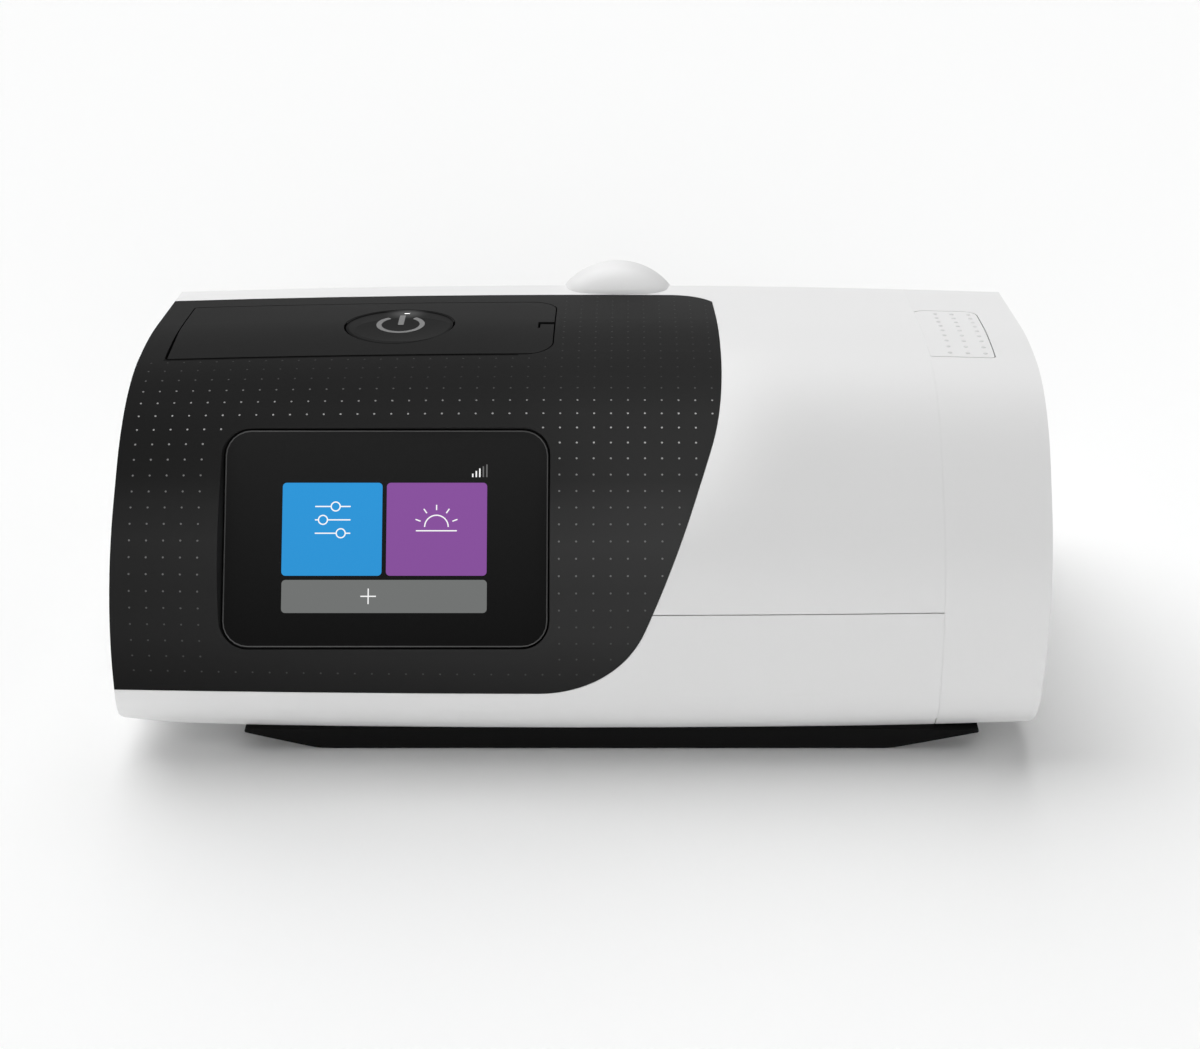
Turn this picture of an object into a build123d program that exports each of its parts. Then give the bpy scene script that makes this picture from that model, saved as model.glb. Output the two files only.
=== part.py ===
from build123d import *
from math import cos, pi, radians, sin, tan
import os

# Bedside air-pressure therapy machine with a slide-out humidifier tub.
# Millimetres. +X runs along the machine towards the tub, the front faces -Y, +Z is up.
# The origin is under the middle of the machine, on the surface that it stands on.

# ---------------------------------------------------------------- overall form
width = 259.4
depth = 138.5
height = 95.0
left_x, right_x = -width / 2, width / 2
front_y, rear_y = -depth / 2, depth / 2
crown = 2.2                 # how far the ends are drawn in from the middle
left_lean = 1.6             # degrees that the left end leans in
right_flare = 1.8           # degrees that the right end leans out
sole_height = 6.7           # underside of the casings above the table
end_roll = 2.5              # radius where an end face meets the underside

chin_z = 14.4               # side view: foot of the upright front
chin_y = front_y + 7.35     # side view: where the front roll meets the keel
keel_z = 5.2
knee_z = height - 42.3      # corner of the upright front and the sloped front
brow_y = front_y + 43.65    # corner of the sloped front and the top
fall_y = rear_y - 55.95     # where the top starts to fall to the rear
shoulder_z = height - 8.5   # rear end of the falling top
chin_r, knee_r, brow_r, fall_r, shoulder_r, heel_r, keel_r = 19, 63, 57, 150, 6, 8, 3
least_r = 0.6

left_sweep_x, left_sweep_r, left_sweep_angle = left_x + 16.4, 80, 12.8   # the underside lifts at the ends
right_sweep_x, right_sweep_r, right_sweep_angle = right_x - 9.4, 20, 10.0

# ---------------------------------------------------------------- walls and gaps
wall = 2.2                  # moulded casing walls
fit_gap = 0.1               # between pieces that stay together
seam_gap = 0.3              # open joint line between two casings
body_gap = 0.35             # between pieces that move apart
split_z = 45.4              # joint of the lower and upper casing
mouth_x = right_x - 30.6    # right end of the fixed casings
floor_z = sole_height + wall

# ---------------------------------------------------------------- front fascia
fascia_wall = 2.0
fascia_foot_z = 22.05
fascia_side_x = left_x + 169.25
fascia_knee_z = height - 4.3
fascia_foot_x = left_x + 138.8
fascia_knee_r, fascia_foot_r = 40, 32
fascia_rear_y = rear_y - 16.25
fascia_rear_r = 14
lap = 5.0                   # flange of the casing that carries the fascia
lap_root = 3.0

# ---------------------------------------------------------------- touch screen
screen_x, screen_y, screen_z = left_x + 75.95, front_y + 19.15, height - 34.5
screen_w, screen_h, screen_r = 89.6, 60.5, 7.3
screen_tilt = 35.7          # degrees that the glass leans back from upright
glass_t = 1.8
glass_edge = 0.6
glass_gap = 0.3
pocket_wall = 1.8
pocket_draft = 1.5
ledge = 3.0
gasket_t = 0.4
panel_t = 4.2

# ---------------------------------------------------------------- card door, well and power button
door_left_x, door_right_x = left_x + 10.2, left_x + 120.7
door_front_y, door_rear_y = rear_y - 73.0, rear_y - 25.25
door_corner_r = 8.0
door_edge_gap = 0.4
door_pin_inset = 8.0        # hinge axis from the door's left edge
door_pin_drop = 4.2         # hinge axis under the door's surface
door_pin_r = 0.9
knuckle_r = 1.6
knuckle_y0, knuckle_y1 = door_front_y + 5.0, door_front_y + 14.0
lug_t = 2.6
notch_w, notch_d, notch_y = 4.7, 2.2, rear_y - 50.05   # cut beside the tab that lifts the door
tab_slit, tab_l = 0.7, 3.5
well_floor_z = height - 15.0
well_wall = 1.8
well_clear = 1.2            # room round the door inside the well
button_x, button_y = left_x + 75.0, rear_y - 49.05
button_r = 15.8
button_gap = 0.45
button_drop = 0.35          # the button sits this much under the door's surface
button_t = 2.2
button_travel = 0.8
dish_depth = 0.9
guide_wall = 1.4
pipe_w, pipe_d, pipe_y = 2.1, 1.3, button_y + 13.6

# ---------------------------------------------------------------- electronics
board_z, board_t = well_floor_z - 28.9, 1.6
board_x0, board_x1 = left_x + 17.0, left_x + 127.0
board_y0, board_y1 = front_y + 41.25, rear_y - 13.25
post_r = 3.2
posts = [(board_x0 + 6.0, board_y0 + 6.0), (board_x0 + 5.0, board_y1 - 16.0),
         (board_x1 - 6.0, board_y1 - 52.0), (board_x1 - 6.0, board_y1 - 6.0)]
card_w, card_l, card_t = 24.0, 32.0, 2.1
card_x, card_y = door_right_x - 15.7, rear_y - 48.8
card_proud = 6.0            # card above the well floor

# ---------------------------------------------------------------- blower
fan_x, fan_y = left_x + 71.0, 6.0
scroll_z0, scroll_split_z, scroll_z1 = 21.0, 33.0, board_z - 6.1
scroll_start_r, scroll_end_r = 29.0, 37.5
scroll_wall = 1.6
eye_r = 14.0
nozzle_r = 8.5
nozzle_z = 33.0
impeller_r = 26.0
hub_r = 7.0
blade_count = 9
blade_t = 1.2
impeller_z0, impeller_z1 = 26.5, scroll_z1 - 7.0
shaft_r = 1.5
shaft_gap = 0.05
can_r, can_wall = 17.0, 1.2
can_z0 = 12.6
duct_bend_r = 12.5

# ---------------------------------------------------------------- air outlet
outlet_x = left_x + 139.1
spigot_r, spigot_bore_r = 11.0, 9.0
spigot_end_y = rear_y - 0.25
hood_r, hood_wall, hood_nose_r = 20.6, 1.9, 8.0
hood_y0, hood_y1 = rear_y - 15.95, rear_y - 1.75
outlet_z = height - hood_r

# ---------------------------------------------------------------- humidifier bay and tub
liner_wall = 1.6
liner_clear = 0.4
tub_clear = 0.5
tub_wall = 2.0
bay_x0 = left_x + 162.0
tub_x0 = bay_x0 + liner_wall + 1.0
tub_rim_z = height - 37.0
tub_seal_t = 1.6
port_r = 8.0
port_wall = 1.8
inlet_port = (-14.0, height - 25.0)  # Y, Z
outlet_port = (24.0, outlet_z)
heater_w, heater_d = mouth_x - tub_x0 - 20.2, depth - 66.5
pad_x1 = mouth_x + 18.9
pad_y0, pad_y1 = rear_y - 71.9, rear_y - 30.4
pad_r = 4.0
pad_travel = 1.2

# ---------------------------------------------------------------- rear left: filter, and power inlet
filter_x0, filter_x1 = left_x + 12.0, left_x + 56.0
filter_z0, filter_z1 = 16.5, 42.0
filter_pin_rise = 4.4
filter_pin_drop = 2.6
filter_pin_r = 0.8
filter_clear = 0.45                  # filter to the cover's barrel as it swings
filter_seat_y = rear_y - 12.25       # front of the filter's frame
filter_lip_y = rear_y - 2.45
slat_count = 7
inlet_x, inlet_z = left_x + 89.0, 25.0
inlet_w, inlet_h, inlet_depth = 18.0, 13.0, 15.0
inlet_hole_w, inlet_hole_h = 12.0, 7.0

# ---------------------------------------------------------------- plinth, feet and screws
plinth_left_top_x, plinth_left_foot_x = left_x + 30.5, left_x + 55.0
plinth_right_top_x, plinth_right_foot_x = right_x - 13.2, right_x - 42.4
plinth_front_y, plinth_rear_y = front_y + 5.25, rear_y - 9.25
plinth_foot_z = 0.3
plinth_roll = 25.0
foot_r, foot_t = 7.0, 1.8
foot_y0, foot_y1 = front_y + 19.25, rear_y - 21.25
feet = [(plinth_left_foot_x + 8.0, foot_y0), (plinth_left_foot_x + 8.0, foot_y1),
        (plinth_right_foot_x - 8.0, foot_y0), (plinth_right_foot_x - 8.0, foot_y1)]
screw_r, screw_head_r, screw_head_t = 1.4, 2.8, 1.9
foot_head_z = foot_t + screw_head_t + 0.1
plinth_screw_lengths = [9.0, 9.0, floor_z - foot_head_z, floor_z - foot_head_z]
fascia_bosses = [(left_x + 6.5, front_y + 25.25), (left_x + 6.5, rear_y - 35.25)]
casing_bosses = [(bay_x0 - 7.0, foot_y0), (left_x + 109.0, rear_y - 8.75)]
tie_boss_r = 3.6

far = 400.0


# ================================================================ helpers
def inset_corners(corners, distance):
    """Move every side of a clockwise outline inwards by one distance."""
    count = len(corners)
    sides = []
    for index in range(count):
        ax, ay = corners[index]
        bx, by = corners[(index + 1) % count]
        length = ((bx - ax) ** 2 + (by - ay) ** 2) ** 0.5
        dx, dy = (bx - ax) / length, (by - ay) / length
        sides.append((ax + dy * distance, ay - dx * distance, dx, dy))
    moved = []
    for index in range(count):
        px, py, pdx, pdy = sides[index - 1]
        qx, qy, qdx, qdy = sides[index]
        along = ((qx - px) * qdy - (qy - py) * qdx) / (pdx * qdy - pdy * qdx)
        moved.append((px + pdx * along, py + pdy * along))
    return moved


def rounded_outline(corners, corner_radii, inset=0.0):
    """Closed face with rounded corners, its sides moved inwards by inset."""
    moved = inset_corners(corners, inset)
    shrunk = [max(radius - inset, least_r) for radius in corner_radii]
    return make_face(FilletPolyline(*moved, radius=shrunk, close=True))


def slab(x0, x1, y0, y1, z0, z1):
    """Axis-aligned block between two corners."""
    centre = Pos((x0 + x1) / 2, (y0 + y1) / 2, (z0 + z1) / 2)
    return centre * Box(x1 - x0, y1 - y0, z1 - z0)


def rod(radius, length, x, y, z):
    """Upright cylinder standing on (x, y, z)."""
    return Pos(x, y, z) * Cylinder(radius, length, align=(Align.CENTER, Align.CENTER, Align.MIN))


def rod_y(radius, y0, y1, x, z):
    """Cylinder along Y from y0 to y1."""
    return Pos(x, (y0 + y1) / 2, z) * Rot(90, 0, 0) * Cylinder(radius, y1 - y0)


def rod_x(radius, x0, x1, y, z):
    """Cylinder along X from x0 to x1."""
    return Pos((x0 + x1) / 2, y, z) * Rot(0, 90, 0) * Cylinder(radius, x1 - x0)


def ring(outer_r, inner_r, length, x, y, z):
    """Upright tube standing on (x, y, z)."""
    return rod(outer_r, length, x, y, z) - rod(inner_r, length, x, y, z)


def above(z):
    return slab(-far, far, -far, far, z, z + far)


def below(z):
    return slab(-far, far, -far, far, z - far, z)


def prism_z(face, z0=-10.0, z1=150.0):
    return Pos(0, 0, z0) * extrude(face, amount=z1 - z0, dir=(0, 0, 1))


def prism_y(face):
    return extrude(Plane.XZ * face, amount=far / 2, both=True)


# ================================================================ outer form
SIDE = [(front_y, chin_z), (front_y, knee_z), (brow_y, height), (fall_y, height),
        (rear_y, shoulder_z), (rear_y, keel_z), (chin_y, keel_z)]
SIDE_RADII = [chin_r, knee_r, brow_r, fall_r, shoulder_r, heel_r, keel_r]


def side_face(inset):
    return rounded_outline(SIDE, SIDE_RADII, inset)


def crowned(inset):
    """Barrel-shaped body: the side view lofted from end to end, fuller in the middle."""
    reach = width / 2 + 1
    ends = [Plane.YZ.offset(x) * side_face(inset + crown) for x in (-reach, reach)]
    middle = Plane.YZ * side_face(inset)
    return loft([ends[0], middle, ends[1]])


def front_prism(inset):
    """Front view with its leaning ends and the underside that lifts towards them."""
    top = height + 15
    lean, flare = tan(radians(left_lean)), tan(radians(right_flare))
    left_z = sole_height + (left_sweep_x - left_x) * tan(radians(left_sweep_angle))
    right_z = sole_height + (right_x - right_sweep_x) * tan(radians(right_sweep_angle)) / 2
    corners = [(left_x, left_z), (left_x + (top - left_z) * lean, top), (right_x + (top - height) * flare, top),
               (right_x - (height - right_z) * flare, right_z), (right_sweep_x, sole_height),
               (left_sweep_x, sole_height)]
    corner_radii = [end_roll, 1, 1, end_roll, right_sweep_r, left_sweep_r]
    return prism_y(rounded_outline(corners, corner_radii, inset))


def envelope(inset):
    return crowned(inset) & front_prism(inset)


def top_z(x, y):
    """Height of the outer surface on the top of the machine."""
    fall = (height - shoulder_z) / (rear_y - fall_y)
    drop = max(y - fall_y, 0.0) * fall
    return height - crown * (2 * x / width) ** 2 - drop


OUTER = envelope(0)
INNER = envelope(wall)
SKIN = OUTER - envelope(fascia_wall)
UNDER_SKIN = envelope(fascia_wall + fit_gap)


def fascia_region(inset):
    """Space over the part of the outer form that the dark fascia covers."""
    side = [(-far, fascia_foot_z), (-far, far), (fascia_side_x, far),
            (fascia_side_x, fascia_knee_z), (fascia_foot_x, fascia_foot_z)]
    plan_x = fascia_side_x + 0.4
    plan = [(-far - 9, -far), (-far - 9, fascia_rear_y), (plan_x, fascia_rear_y), (plan_x, -far)]
    front = prism_y(rounded_outline(side, [1, 1, 1, fascia_knee_r, fascia_foot_r], inset))
    rear = prism_z(rounded_outline(plan, [1, 1, fascia_rear_r, 1], inset))
    return front & rear


def door_region(inset):
    """Upright prism over the card door's outline."""
    plan = [(door_left_x, door_front_y), (door_left_x, door_rear_y),
            (door_right_x, door_rear_y), (door_right_x, door_front_y)]
    return prism_z(rounded_outline(plan, [1, 1, door_corner_r, door_corner_r], inset), board_z)


def pad_region(inset):
    """Upright prism over the tub release pad's outline."""
    plan = [(mouth_x, pad_y0), (mouth_x, pad_y1), (pad_x1, pad_y1), (pad_x1, pad_y0)]
    return prism_z(rounded_outline(plan, [1, pad_r, pad_r, 1], inset), board_z)


# ================================================================ screen
SCREEN = Plane(origin=(screen_x, screen_y, screen_z), x_dir=(1, 0, 0),
               z_dir=(0, -cos(radians(screen_tilt)), sin(radians(screen_tilt))))


def screen_block(grow, low, high, taper=0.0):
    """Rounded block on the screen's plane, from low to high along its normal."""
    base = RectangleRounded(screen_w + 2 * grow, screen_h + 2 * grow, screen_r + grow)
    return SCREEN * (Pos(0, 0, low) * extrude(base, amount=high - low, taper=taper))


def screen_glass():
    glass = screen_block(0, -glass_t, 0)
    face = max(glass.faces(), key=lambda f: f.center().Z - f.center().Y)
    return fillet(face.edges(), glass_edge)


def screen_gasket():
    return screen_block(-0.5, -glass_t - gasket_t, -glass_t) - screen_block(-ledge, -glass_t - gasket_t, -glass_t)


def display_panel():
    panel = screen_block(-ledge - 0.4, -glass_t - panel_t, -glass_t)
    frame = screen_block(-ledge - 2.4, -glass_t - panel_t, -glass_t - panel_t + 0.8)
    connector = SCREEN * Pos(0, -screen_h / 2 + 12, -glass_t - panel_t - 1.0) * Box(26, 5, 2.0)
    return panel - frame + connector


# ================================================================ fascia and casings
def front_fascia():
    shell = SKIN & fascia_region(0)
    shell -= door_region(-door_edge_gap)
    floor = -glass_t - gasket_t
    pocket = screen_block(pocket_wall + glass_gap, floor - pocket_wall, 30) & envelope(fascia_wall / 2)
    shell += pocket
    shell -= screen_block(glass_gap, floor, 30, taper=-pocket_draft)
    shell -= screen_block(-ledge, floor - pocket_wall - 1, floor + 1)
    for x, y in fascia_bosses:
        shell += rod(tie_boss_r, 15, x, y, split_z + seam_gap / 2) & envelope(fascia_wall / 2)
        shell -= rod(screw_r + fit_gap / 2, 10, x, y, split_z - 1)
    return shell


def lap_flange():
    """Flange under the fascia's edge, joined to the white casing around it."""
    band = UNDER_SKIN - envelope(fascia_wall + fit_gap + wall)
    return (band & fascia_region(-lap_root)) - fascia_region(lap)


def casing_shell():
    shell = OUTER - INNER
    shell -= fascia_region(-fit_gap)
    shell += lap_flange()
    return shell & slab(-far, mouth_x, -far, far, -far, far)


CASING = casing_shell()


def lower_casing():
    shell = CASING & below(split_z - seam_gap / 2)
    for x, y in posts:
        shell += rod(post_r, board_z - floor_z + 0.6, x, y, floor_z - 0.6)
        shell -= rod(screw_r + fit_gap / 2, 9, x, y, board_z - 8)
    for (x, y), length in zip(feet, plinth_screw_lengths):
        if length > 6:
            shell += rod(post_r, length - 2.4, x, y, floor_z - 0.6)
        shell -= rod(screw_r + fit_gap / 2, foot_head_z + length + fit_gap, x, y, 0)
    for x, y in fascia_bosses + casing_bosses:
        boss = rod(tie_boss_r, split_z, x, y, 0) & UNDER_SKIN
        shell += boss & below(split_z)
        shell -= rod(screw_r + fit_gap / 2, split_z, x, y, 0)
        shell -= rod(screw_head_r + 0.3, split_z - 12, x, y, 0)
    ring_z = can_z0 - 3.0
    shell += ring(can_r + 3.2, can_r + 1.6, ring_z - floor_z + 1.6, fan_x, fan_y, floor_z - 0.2)
    shell -= filter_opening(0)
    shell += filter_box()
    y, z = filter_pin()
    shell -= rod_x(filter_pin_r + fit_gap / 2, filter_x0 - 2.4, filter_x1 + 2.4, y, z)
    shell -= Pos(inlet_x, rear_y, inlet_z) * Box(inlet_w + 2 * fit_gap, 12, inlet_h + 2 * fit_gap)
    return shell


def upper_casing():
    shell = CASING & above(split_z + seam_gap / 2)
    profile = [(hood_y0, 0), (hood_y0, hood_r), (hood_y1, hood_r), (hood_y1, 0)]
    hood = revolve_about_outlet(profile, [0, hood_nose_r, 1.2, 0])
    shell -= rod_y(spigot_r + 1.8, 30, hood_y0, outlet_x, outlet_z)
    shell += hood
    recess_r = hood_r - hood_wall
    recess_y0 = hood_y0 + hood_wall
    recess = [(recess_y0, 0), (recess_y0, recess_r), (depth, recess_r), (depth, 0)]
    shell -= revolve_about_outlet(recess, [0, hood_nose_r - hood_wall, 0, 0])
    shell -= rod_y(spigot_r - 0.5 + fit_gap / 2, hood_y0 - 5, hood_y1, outlet_x, outlet_z)
    for x, y in casing_bosses:
        shell += rod(tie_boss_r, far / 2, x, y, split_z + seam_gap / 2) & UNDER_SKIN
        shell -= rod(screw_r + fit_gap / 2, 10, x, y, split_z - 1)
    return shell


def revolve_about_outlet(points, corner_radii):
    """Solid of revolution round the outlet's axis; points are (Y, radius)."""
    outline = FilletPolyline(*points, radius=corner_radii, close=True)
    turned = revolve(make_face(outline), axis=Axis.X, revolution_arc=360)
    return Pos(outlet_x, 0, outlet_z) * Rot(0, 0, 90) * turned


# ================================================================ card well, door and button
def hinge_z():
    return top_z(door_left_x + door_pin_inset, 0) - door_pin_drop


def card_well():
    outside = door_region(-well_clear - well_wall) & UNDER_SKIN & above(well_floor_z - well_wall)
    well = outside - (door_region(-well_clear) & above(well_floor_z))
    guide = ring(button_r + button_gap + guide_wall, button_r + button_gap, 30, button_x, button_y, well_floor_z - 0.5)
    well += guide & envelope(fascia_wall + 1.0)
    rest = slab(door_right_x - 8.5, door_right_x - 6.2, door_front_y + 6, door_rear_y - 8, well_floor_z - 0.5, far)
    well += rest & envelope(fascia_wall + 0.4)
    pin_x, pin_z = door_left_x + door_pin_inset, hinge_z()
    for y0 in (knuckle_y0 - 0.3 - lug_t, knuckle_y1 + 0.3):
        lug = slab(pin_x - 0.6, pin_x + knuckle_r, y0, y0 + lug_t, well_floor_z - 0.5, pin_z)
        well += lug + rod_y(knuckle_r, y0, y0 + lug_t, pin_x, pin_z)
    well -= rod_y(door_pin_r + fit_gap / 2, knuckle_y0 - 8, knuckle_y1 + 8, pin_x, pin_z)
    well -= rod(4.2, 20, button_x, button_y, well_floor_z - 10)
    for x in (button_x - 7, button_x + 7):
        well += rod(2.0, well_floor_z - 1 - switch_board_z(), x, button_y, switch_board_z())
    well -= slab(card_x - 1.8, card_x + 1.8, card_y - card_w / 2 - 0.8, card_y + card_w / 2 + 0.8,
                 well_floor_z - 5, well_floor_z + 1)
    return well


def card_door():
    pin_x, pin_z = door_left_x + door_pin_inset, hinge_z()
    door = SKIN & door_region(0)
    door -= rod(button_r + button_gap + 0.15, far, button_x, button_y, 0)
    reach = door_pin_inset + door_edge_gap - fit_gap
    tail_r = (reach ** 2 + (door_pin_drop - fascia_wall) ** 2) ** 0.5
    barrel = rod_y(tail_r, -far / 2, far / 2, pin_x, pin_z)
    tail = slab(-far, pin_x, -far, far, pin_z, far)
    door -= tail - barrel
    knuckle = rod_y(knuckle_r, knuckle_y0, knuckle_y1, pin_x, pin_z)
    knuckle += slab(pin_x - knuckle_r, pin_x + knuckle_r, knuckle_y0, knuckle_y1, pin_z, 200) & envelope(1.0)
    knuckle -= rod_y(door_pin_r + 0.05, -far / 4, far / 4, pin_x, pin_z)
    door += knuckle
    notch_x = door_right_x - notch_w
    door -= slab(notch_x, door_right_x + 1, notch_y, notch_y + notch_d, 0, far)
    door -= slab(notch_x, notch_x + tab_slit, notch_y - tab_l, notch_y + 0.1, 0, far)
    return door


def hinge_pin():
    return rod_y(door_pin_r, knuckle_y0 - 0.3 - lug_t, knuckle_y1 + 0.3 + lug_t, door_left_x + door_pin_inset, hinge_z())


def button_top(inset):
    return envelope(button_drop + inset)


def light_pipe_blank(grow):
    slot = SlotOverall(pipe_w + 2 * grow, pipe_d + 2 * grow)
    return Pos(button_x + 0.9, pipe_y, well_floor_z - 10) * extrude(slot, amount=40)


def power_button():
    skirt_z = well_floor_z + button_travel + 1.6
    cap = (rod(button_r, 40, button_x, button_y, skirt_z) & button_top(0))
    cap -= rod(button_r - 1.6, 40, button_x, button_y, skirt_z - 1) & button_top(button_t)
    cap += rod(3.6, 40, button_x, button_y, well_floor_z - 2.6) & button_top(0.5)
    dish_r = ((button_r - 1.2) ** 2 + dish_depth ** 2) / (2 * dish_depth)
    crest = top_z(button_x, button_y) - button_drop - dish_depth
    lean = radians(4.5)
    ball = Pos(button_x, button_y + dish_r * sin(lean), crest + dish_r * cos(lean)) * Sphere(dish_r)
    cap -= ball
    cap -= light_pipe_blank(fit_gap / 2)
    return cap


def status_light_pipe():
    return (light_pipe_blank(0) & button_top(0.25)) & above(well_floor_z + 4)


def switch_board_z():
    """Top face of the small board under the power button."""
    return well_floor_z - 2.6 - button_travel - 0.35 - 3.5


def button_switch():
    top = switch_board_z() + 3.5
    board = slab(button_x - 10, button_x + 10, button_y - 8, button_y + 8, top - 5.1, top - 3.5)
    board += slab(button_x - 3, button_x + 3, button_y - 3, button_y + 3, top - 3.6, top - 0.8)
    board += rod(1.7, 1.0, button_x, button_y, top - 1.0)
    return board


# ================================================================ electronics
def main_board():
    board = slab(board_x0, board_x1, board_y0, board_y1, board_z, board_z + board_t)
    for x, y in posts:
        board -= rod(screw_r + 0.2, 5, x, y, board_z - 1)
    top = board_z + board_t
    board += slab(board_x0 + 42, board_x0 + 62, board_y0 + 8, board_y0 + 24, top, top + 1.4)
    board += slab(board_x1 - 38, board_x1 - 32, board_y1 - 16, board_y1 - 6, top, top + 9)
    for index in range(3):
        board += rod(4.0, 11, board_x0 + 20 + 11 * index, board_y1 - 8, top)
    return board


def radio_module():
    z = board_z + board_t
    return slab(board_x0 + 12, board_x0 + 38, board_y0 + 10, board_y0 + 40, z, z + 3.2)


def card_socket():
    z = board_z + board_t
    block = slab(card_x - 3.4, card_x + 3.4, card_y - 14.4, card_y + 14.4, z, z + 22)
    block -= slab(card_x - 1.35, card_x + 1.35, card_y - card_w / 2 - 0.3, card_y + card_w / 2 + 0.3, z + 1.2, far)
    return block


def memory_card():
    top = well_floor_z + card_proud
    card = slab(card_x - card_t / 2, card_x + card_t / 2, card_y - card_w / 2, card_y + card_w / 2, top - card_l, top)
    corner = Pos(card_x, card_y - card_w / 2, top - card_l) * Rot(45, 0, 0) * Box(card_t * 2, 5.6, 5.6)
    return card - corner


# ================================================================ blower
def scroll_face(grow):
    """Spiral casing outline that widens once round and runs out along +X."""
    steps = 12
    points = []
    for index in range(steps + 1):
        share = index / steps
        angle = -pi / 2 - share * 1.75 * pi
        reach = scroll_start_r + grow + (scroll_end_r - scroll_start_r) * share
        points.append((fan_x + reach * cos(angle), fan_y + reach * sin(angle)))
    spiral = Spline(*points)
    closing = Polyline(points[-1], (fan_x, fan_y), points[0])
    scroll = make_face([spiral, *closing.edges()])
    return scroll


def nozzle_y():
    return fan_y - scroll_start_r + nozzle_r - 2.0


def scroll_solid(grow, z0, z1):
    body = Pos(0, 0, z0) * extrude(scroll_face(grow), amount=z1 - z0, dir=(0, 0, 1))
    disc = rod(scroll_start_r + grow + 2.0, z1 - z0, fan_x, fan_y, z0)
    return body + disc


def blower_half(z0, z1):
    slice_block = slab(-far, far, -far, far, z0, z1)
    reach = fan_x + scroll_end_r + 10
    outside = scroll_solid(scroll_wall, scroll_z0, scroll_z1)
    outside += rod_x(nozzle_r + scroll_wall, fan_x + 10, reach, nozzle_y(), nozzle_z)
    inside = scroll_solid(0, scroll_z0 + scroll_wall, scroll_z1 - scroll_wall)
    inside += rod_x(nozzle_r, fan_x + 10, reach + 1, nozzle_y(), nozzle_z)
    return (outside - inside) & slice_block


def blower_lower():
    half = blower_half(0, scroll_split_z)
    half -= rod(can_r - can_wall, 10, fan_x, fan_y, scroll_z0 - 5)
    return half


def blower_upper():
    half = blower_half(scroll_split_z, far)
    half += ring(eye_r + scroll_wall, eye_r, 3.6, fan_x, fan_y, scroll_z1 - scroll_wall)
    half -= rod(eye_r, 20, fan_x, fan_y, scroll_z1 - 5)
    return half


def impeller():
    wheel = rod(impeller_r, 1.4, fan_x, fan_y, impeller_z0)
    wheel += rod(hub_r, impeller_z1 - impeller_z0 - 3, fan_x, fan_y, impeller_z0)
    blade_path = ThreePointArc((hub_r - 1, 0), (impeller_r * 0.62, 4.2), (impeller_r - 0.5, 13.0))
    thin = Pos(0, 0, 0) * make_face(offset(blade_path, blade_t / 2, side=Side.BOTH, closed=True))
    blade = extrude(thin, amount=impeller_z1 - impeller_z0 - 0.5, dir=(0, 0, 1))
    for index in range(blade_count):
        wheel += Pos(fan_x, fan_y, impeller_z0 + 0.5) * Rot(0, 0, 360 / blade_count * index) * blade
    wheel &= rod(impeller_r, 40, fan_x, fan_y, impeller_z0)
    wheel -= rod(shaft_r, 40, fan_x, fan_y, impeller_z0 - 5)
    return wheel


def rotor_shaft():
    shaft = rod(shaft_r, impeller_z1 - 3 - can_z0 - 1.6, fan_x, fan_y, can_z0 + 1.6)
    shaft += rod(7.0, 3.4, fan_x, fan_y, can_z0 + 3.9)
    return shaft


def bearing(z):
    return ring(4.0, shaft_r + shaft_gap, 2.4, fan_x, fan_y, z)


def motor_bearings():
    return [bearing(can_z0 + can_wall), bearing(scroll_z0 + scroll_wall - 2.4)]


def motor_can():
    can = rod(can_r, scroll_z0 - can_z0, fan_x, fan_y, can_z0)
    can -= rod(can_r - can_wall, 20, fan_x, fan_y, can_z0 + can_wall)
    can += ring(5.4, 4.0, 2.4, fan_x, fan_y, can_z0 + 0.8)
    lid = ring(can_r - can_wall, 4.0, scroll_wall, fan_x, fan_y, scroll_z0)
    lid += ring(5.4, 4.0, 2.4, fan_x, fan_y, scroll_z0 + scroll_wall - 2.4)
    lid += ring(can_r, can_r - can_wall - 0.6, 1.2, fan_x, fan_y, scroll_z0 - 1.2)
    return can + lid


def motor_stator():
    core = ring(can_r - can_wall, 12.6, 4.6, fan_x, fan_y, can_z0 + 2.4)
    for index in range(6):
        tooth = Rot(0, 0, 60 * index) * (Pos(10.6, 0, 2.3) * Box(5.4, 3.4, 4.6))
        core += Pos(fan_x, fan_y, can_z0 + 2.4) * tooth
    core -= rod(7.6, 10, fan_x, fan_y, can_z0 + 1)
    return core & rod(can_r - can_wall, 20, fan_x, fan_y, can_z0)


def blower_mount():
    cradle = ring(can_r + 1.5, 6.0, can_z0 - floor_z, fan_x, fan_y, floor_z)
    cradle += ring(can_r + 1.5, can_r, 4.0, fan_x, fan_y, can_z0)
    return cradle


def tube_along(points, bend_r, outer_r, inner_r):
    """Round duct swept along straight runs with rounded bends."""
    path = FilletPolyline(*points, radius=bend_r)
    start = Plane(origin=path @ 0, z_dir=path % 0)
    outside = sweep(start * Circle(outer_r), path=path)
    inside = sweep(start * Circle(inner_r), path=path)
    return outside - inside


def blower_duct():
    y, z = inlet_port
    start_x = fan_x + scroll_end_r + 10 + fit_gap
    points = [(start_x, nozzle_y(), nozzle_z), (start_x + 22, nozzle_y(), nozzle_z),
              (bay_x0 - 19, y, z), (bay_x0 - fit_gap, y, z)]
    return tube_along(points, duct_bend_r, nozzle_r + 1.5, nozzle_r - 0.5)


def outlet_duct():
    y, z = outlet_port
    points = [(bay_x0 - fit_gap, y, z), (outlet_x, y, z), (outlet_x, hood_y0 - 4.0 - fit_gap, z)]
    return tube_along(points, duct_bend_r, port_r + 2.2, port_r)


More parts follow.
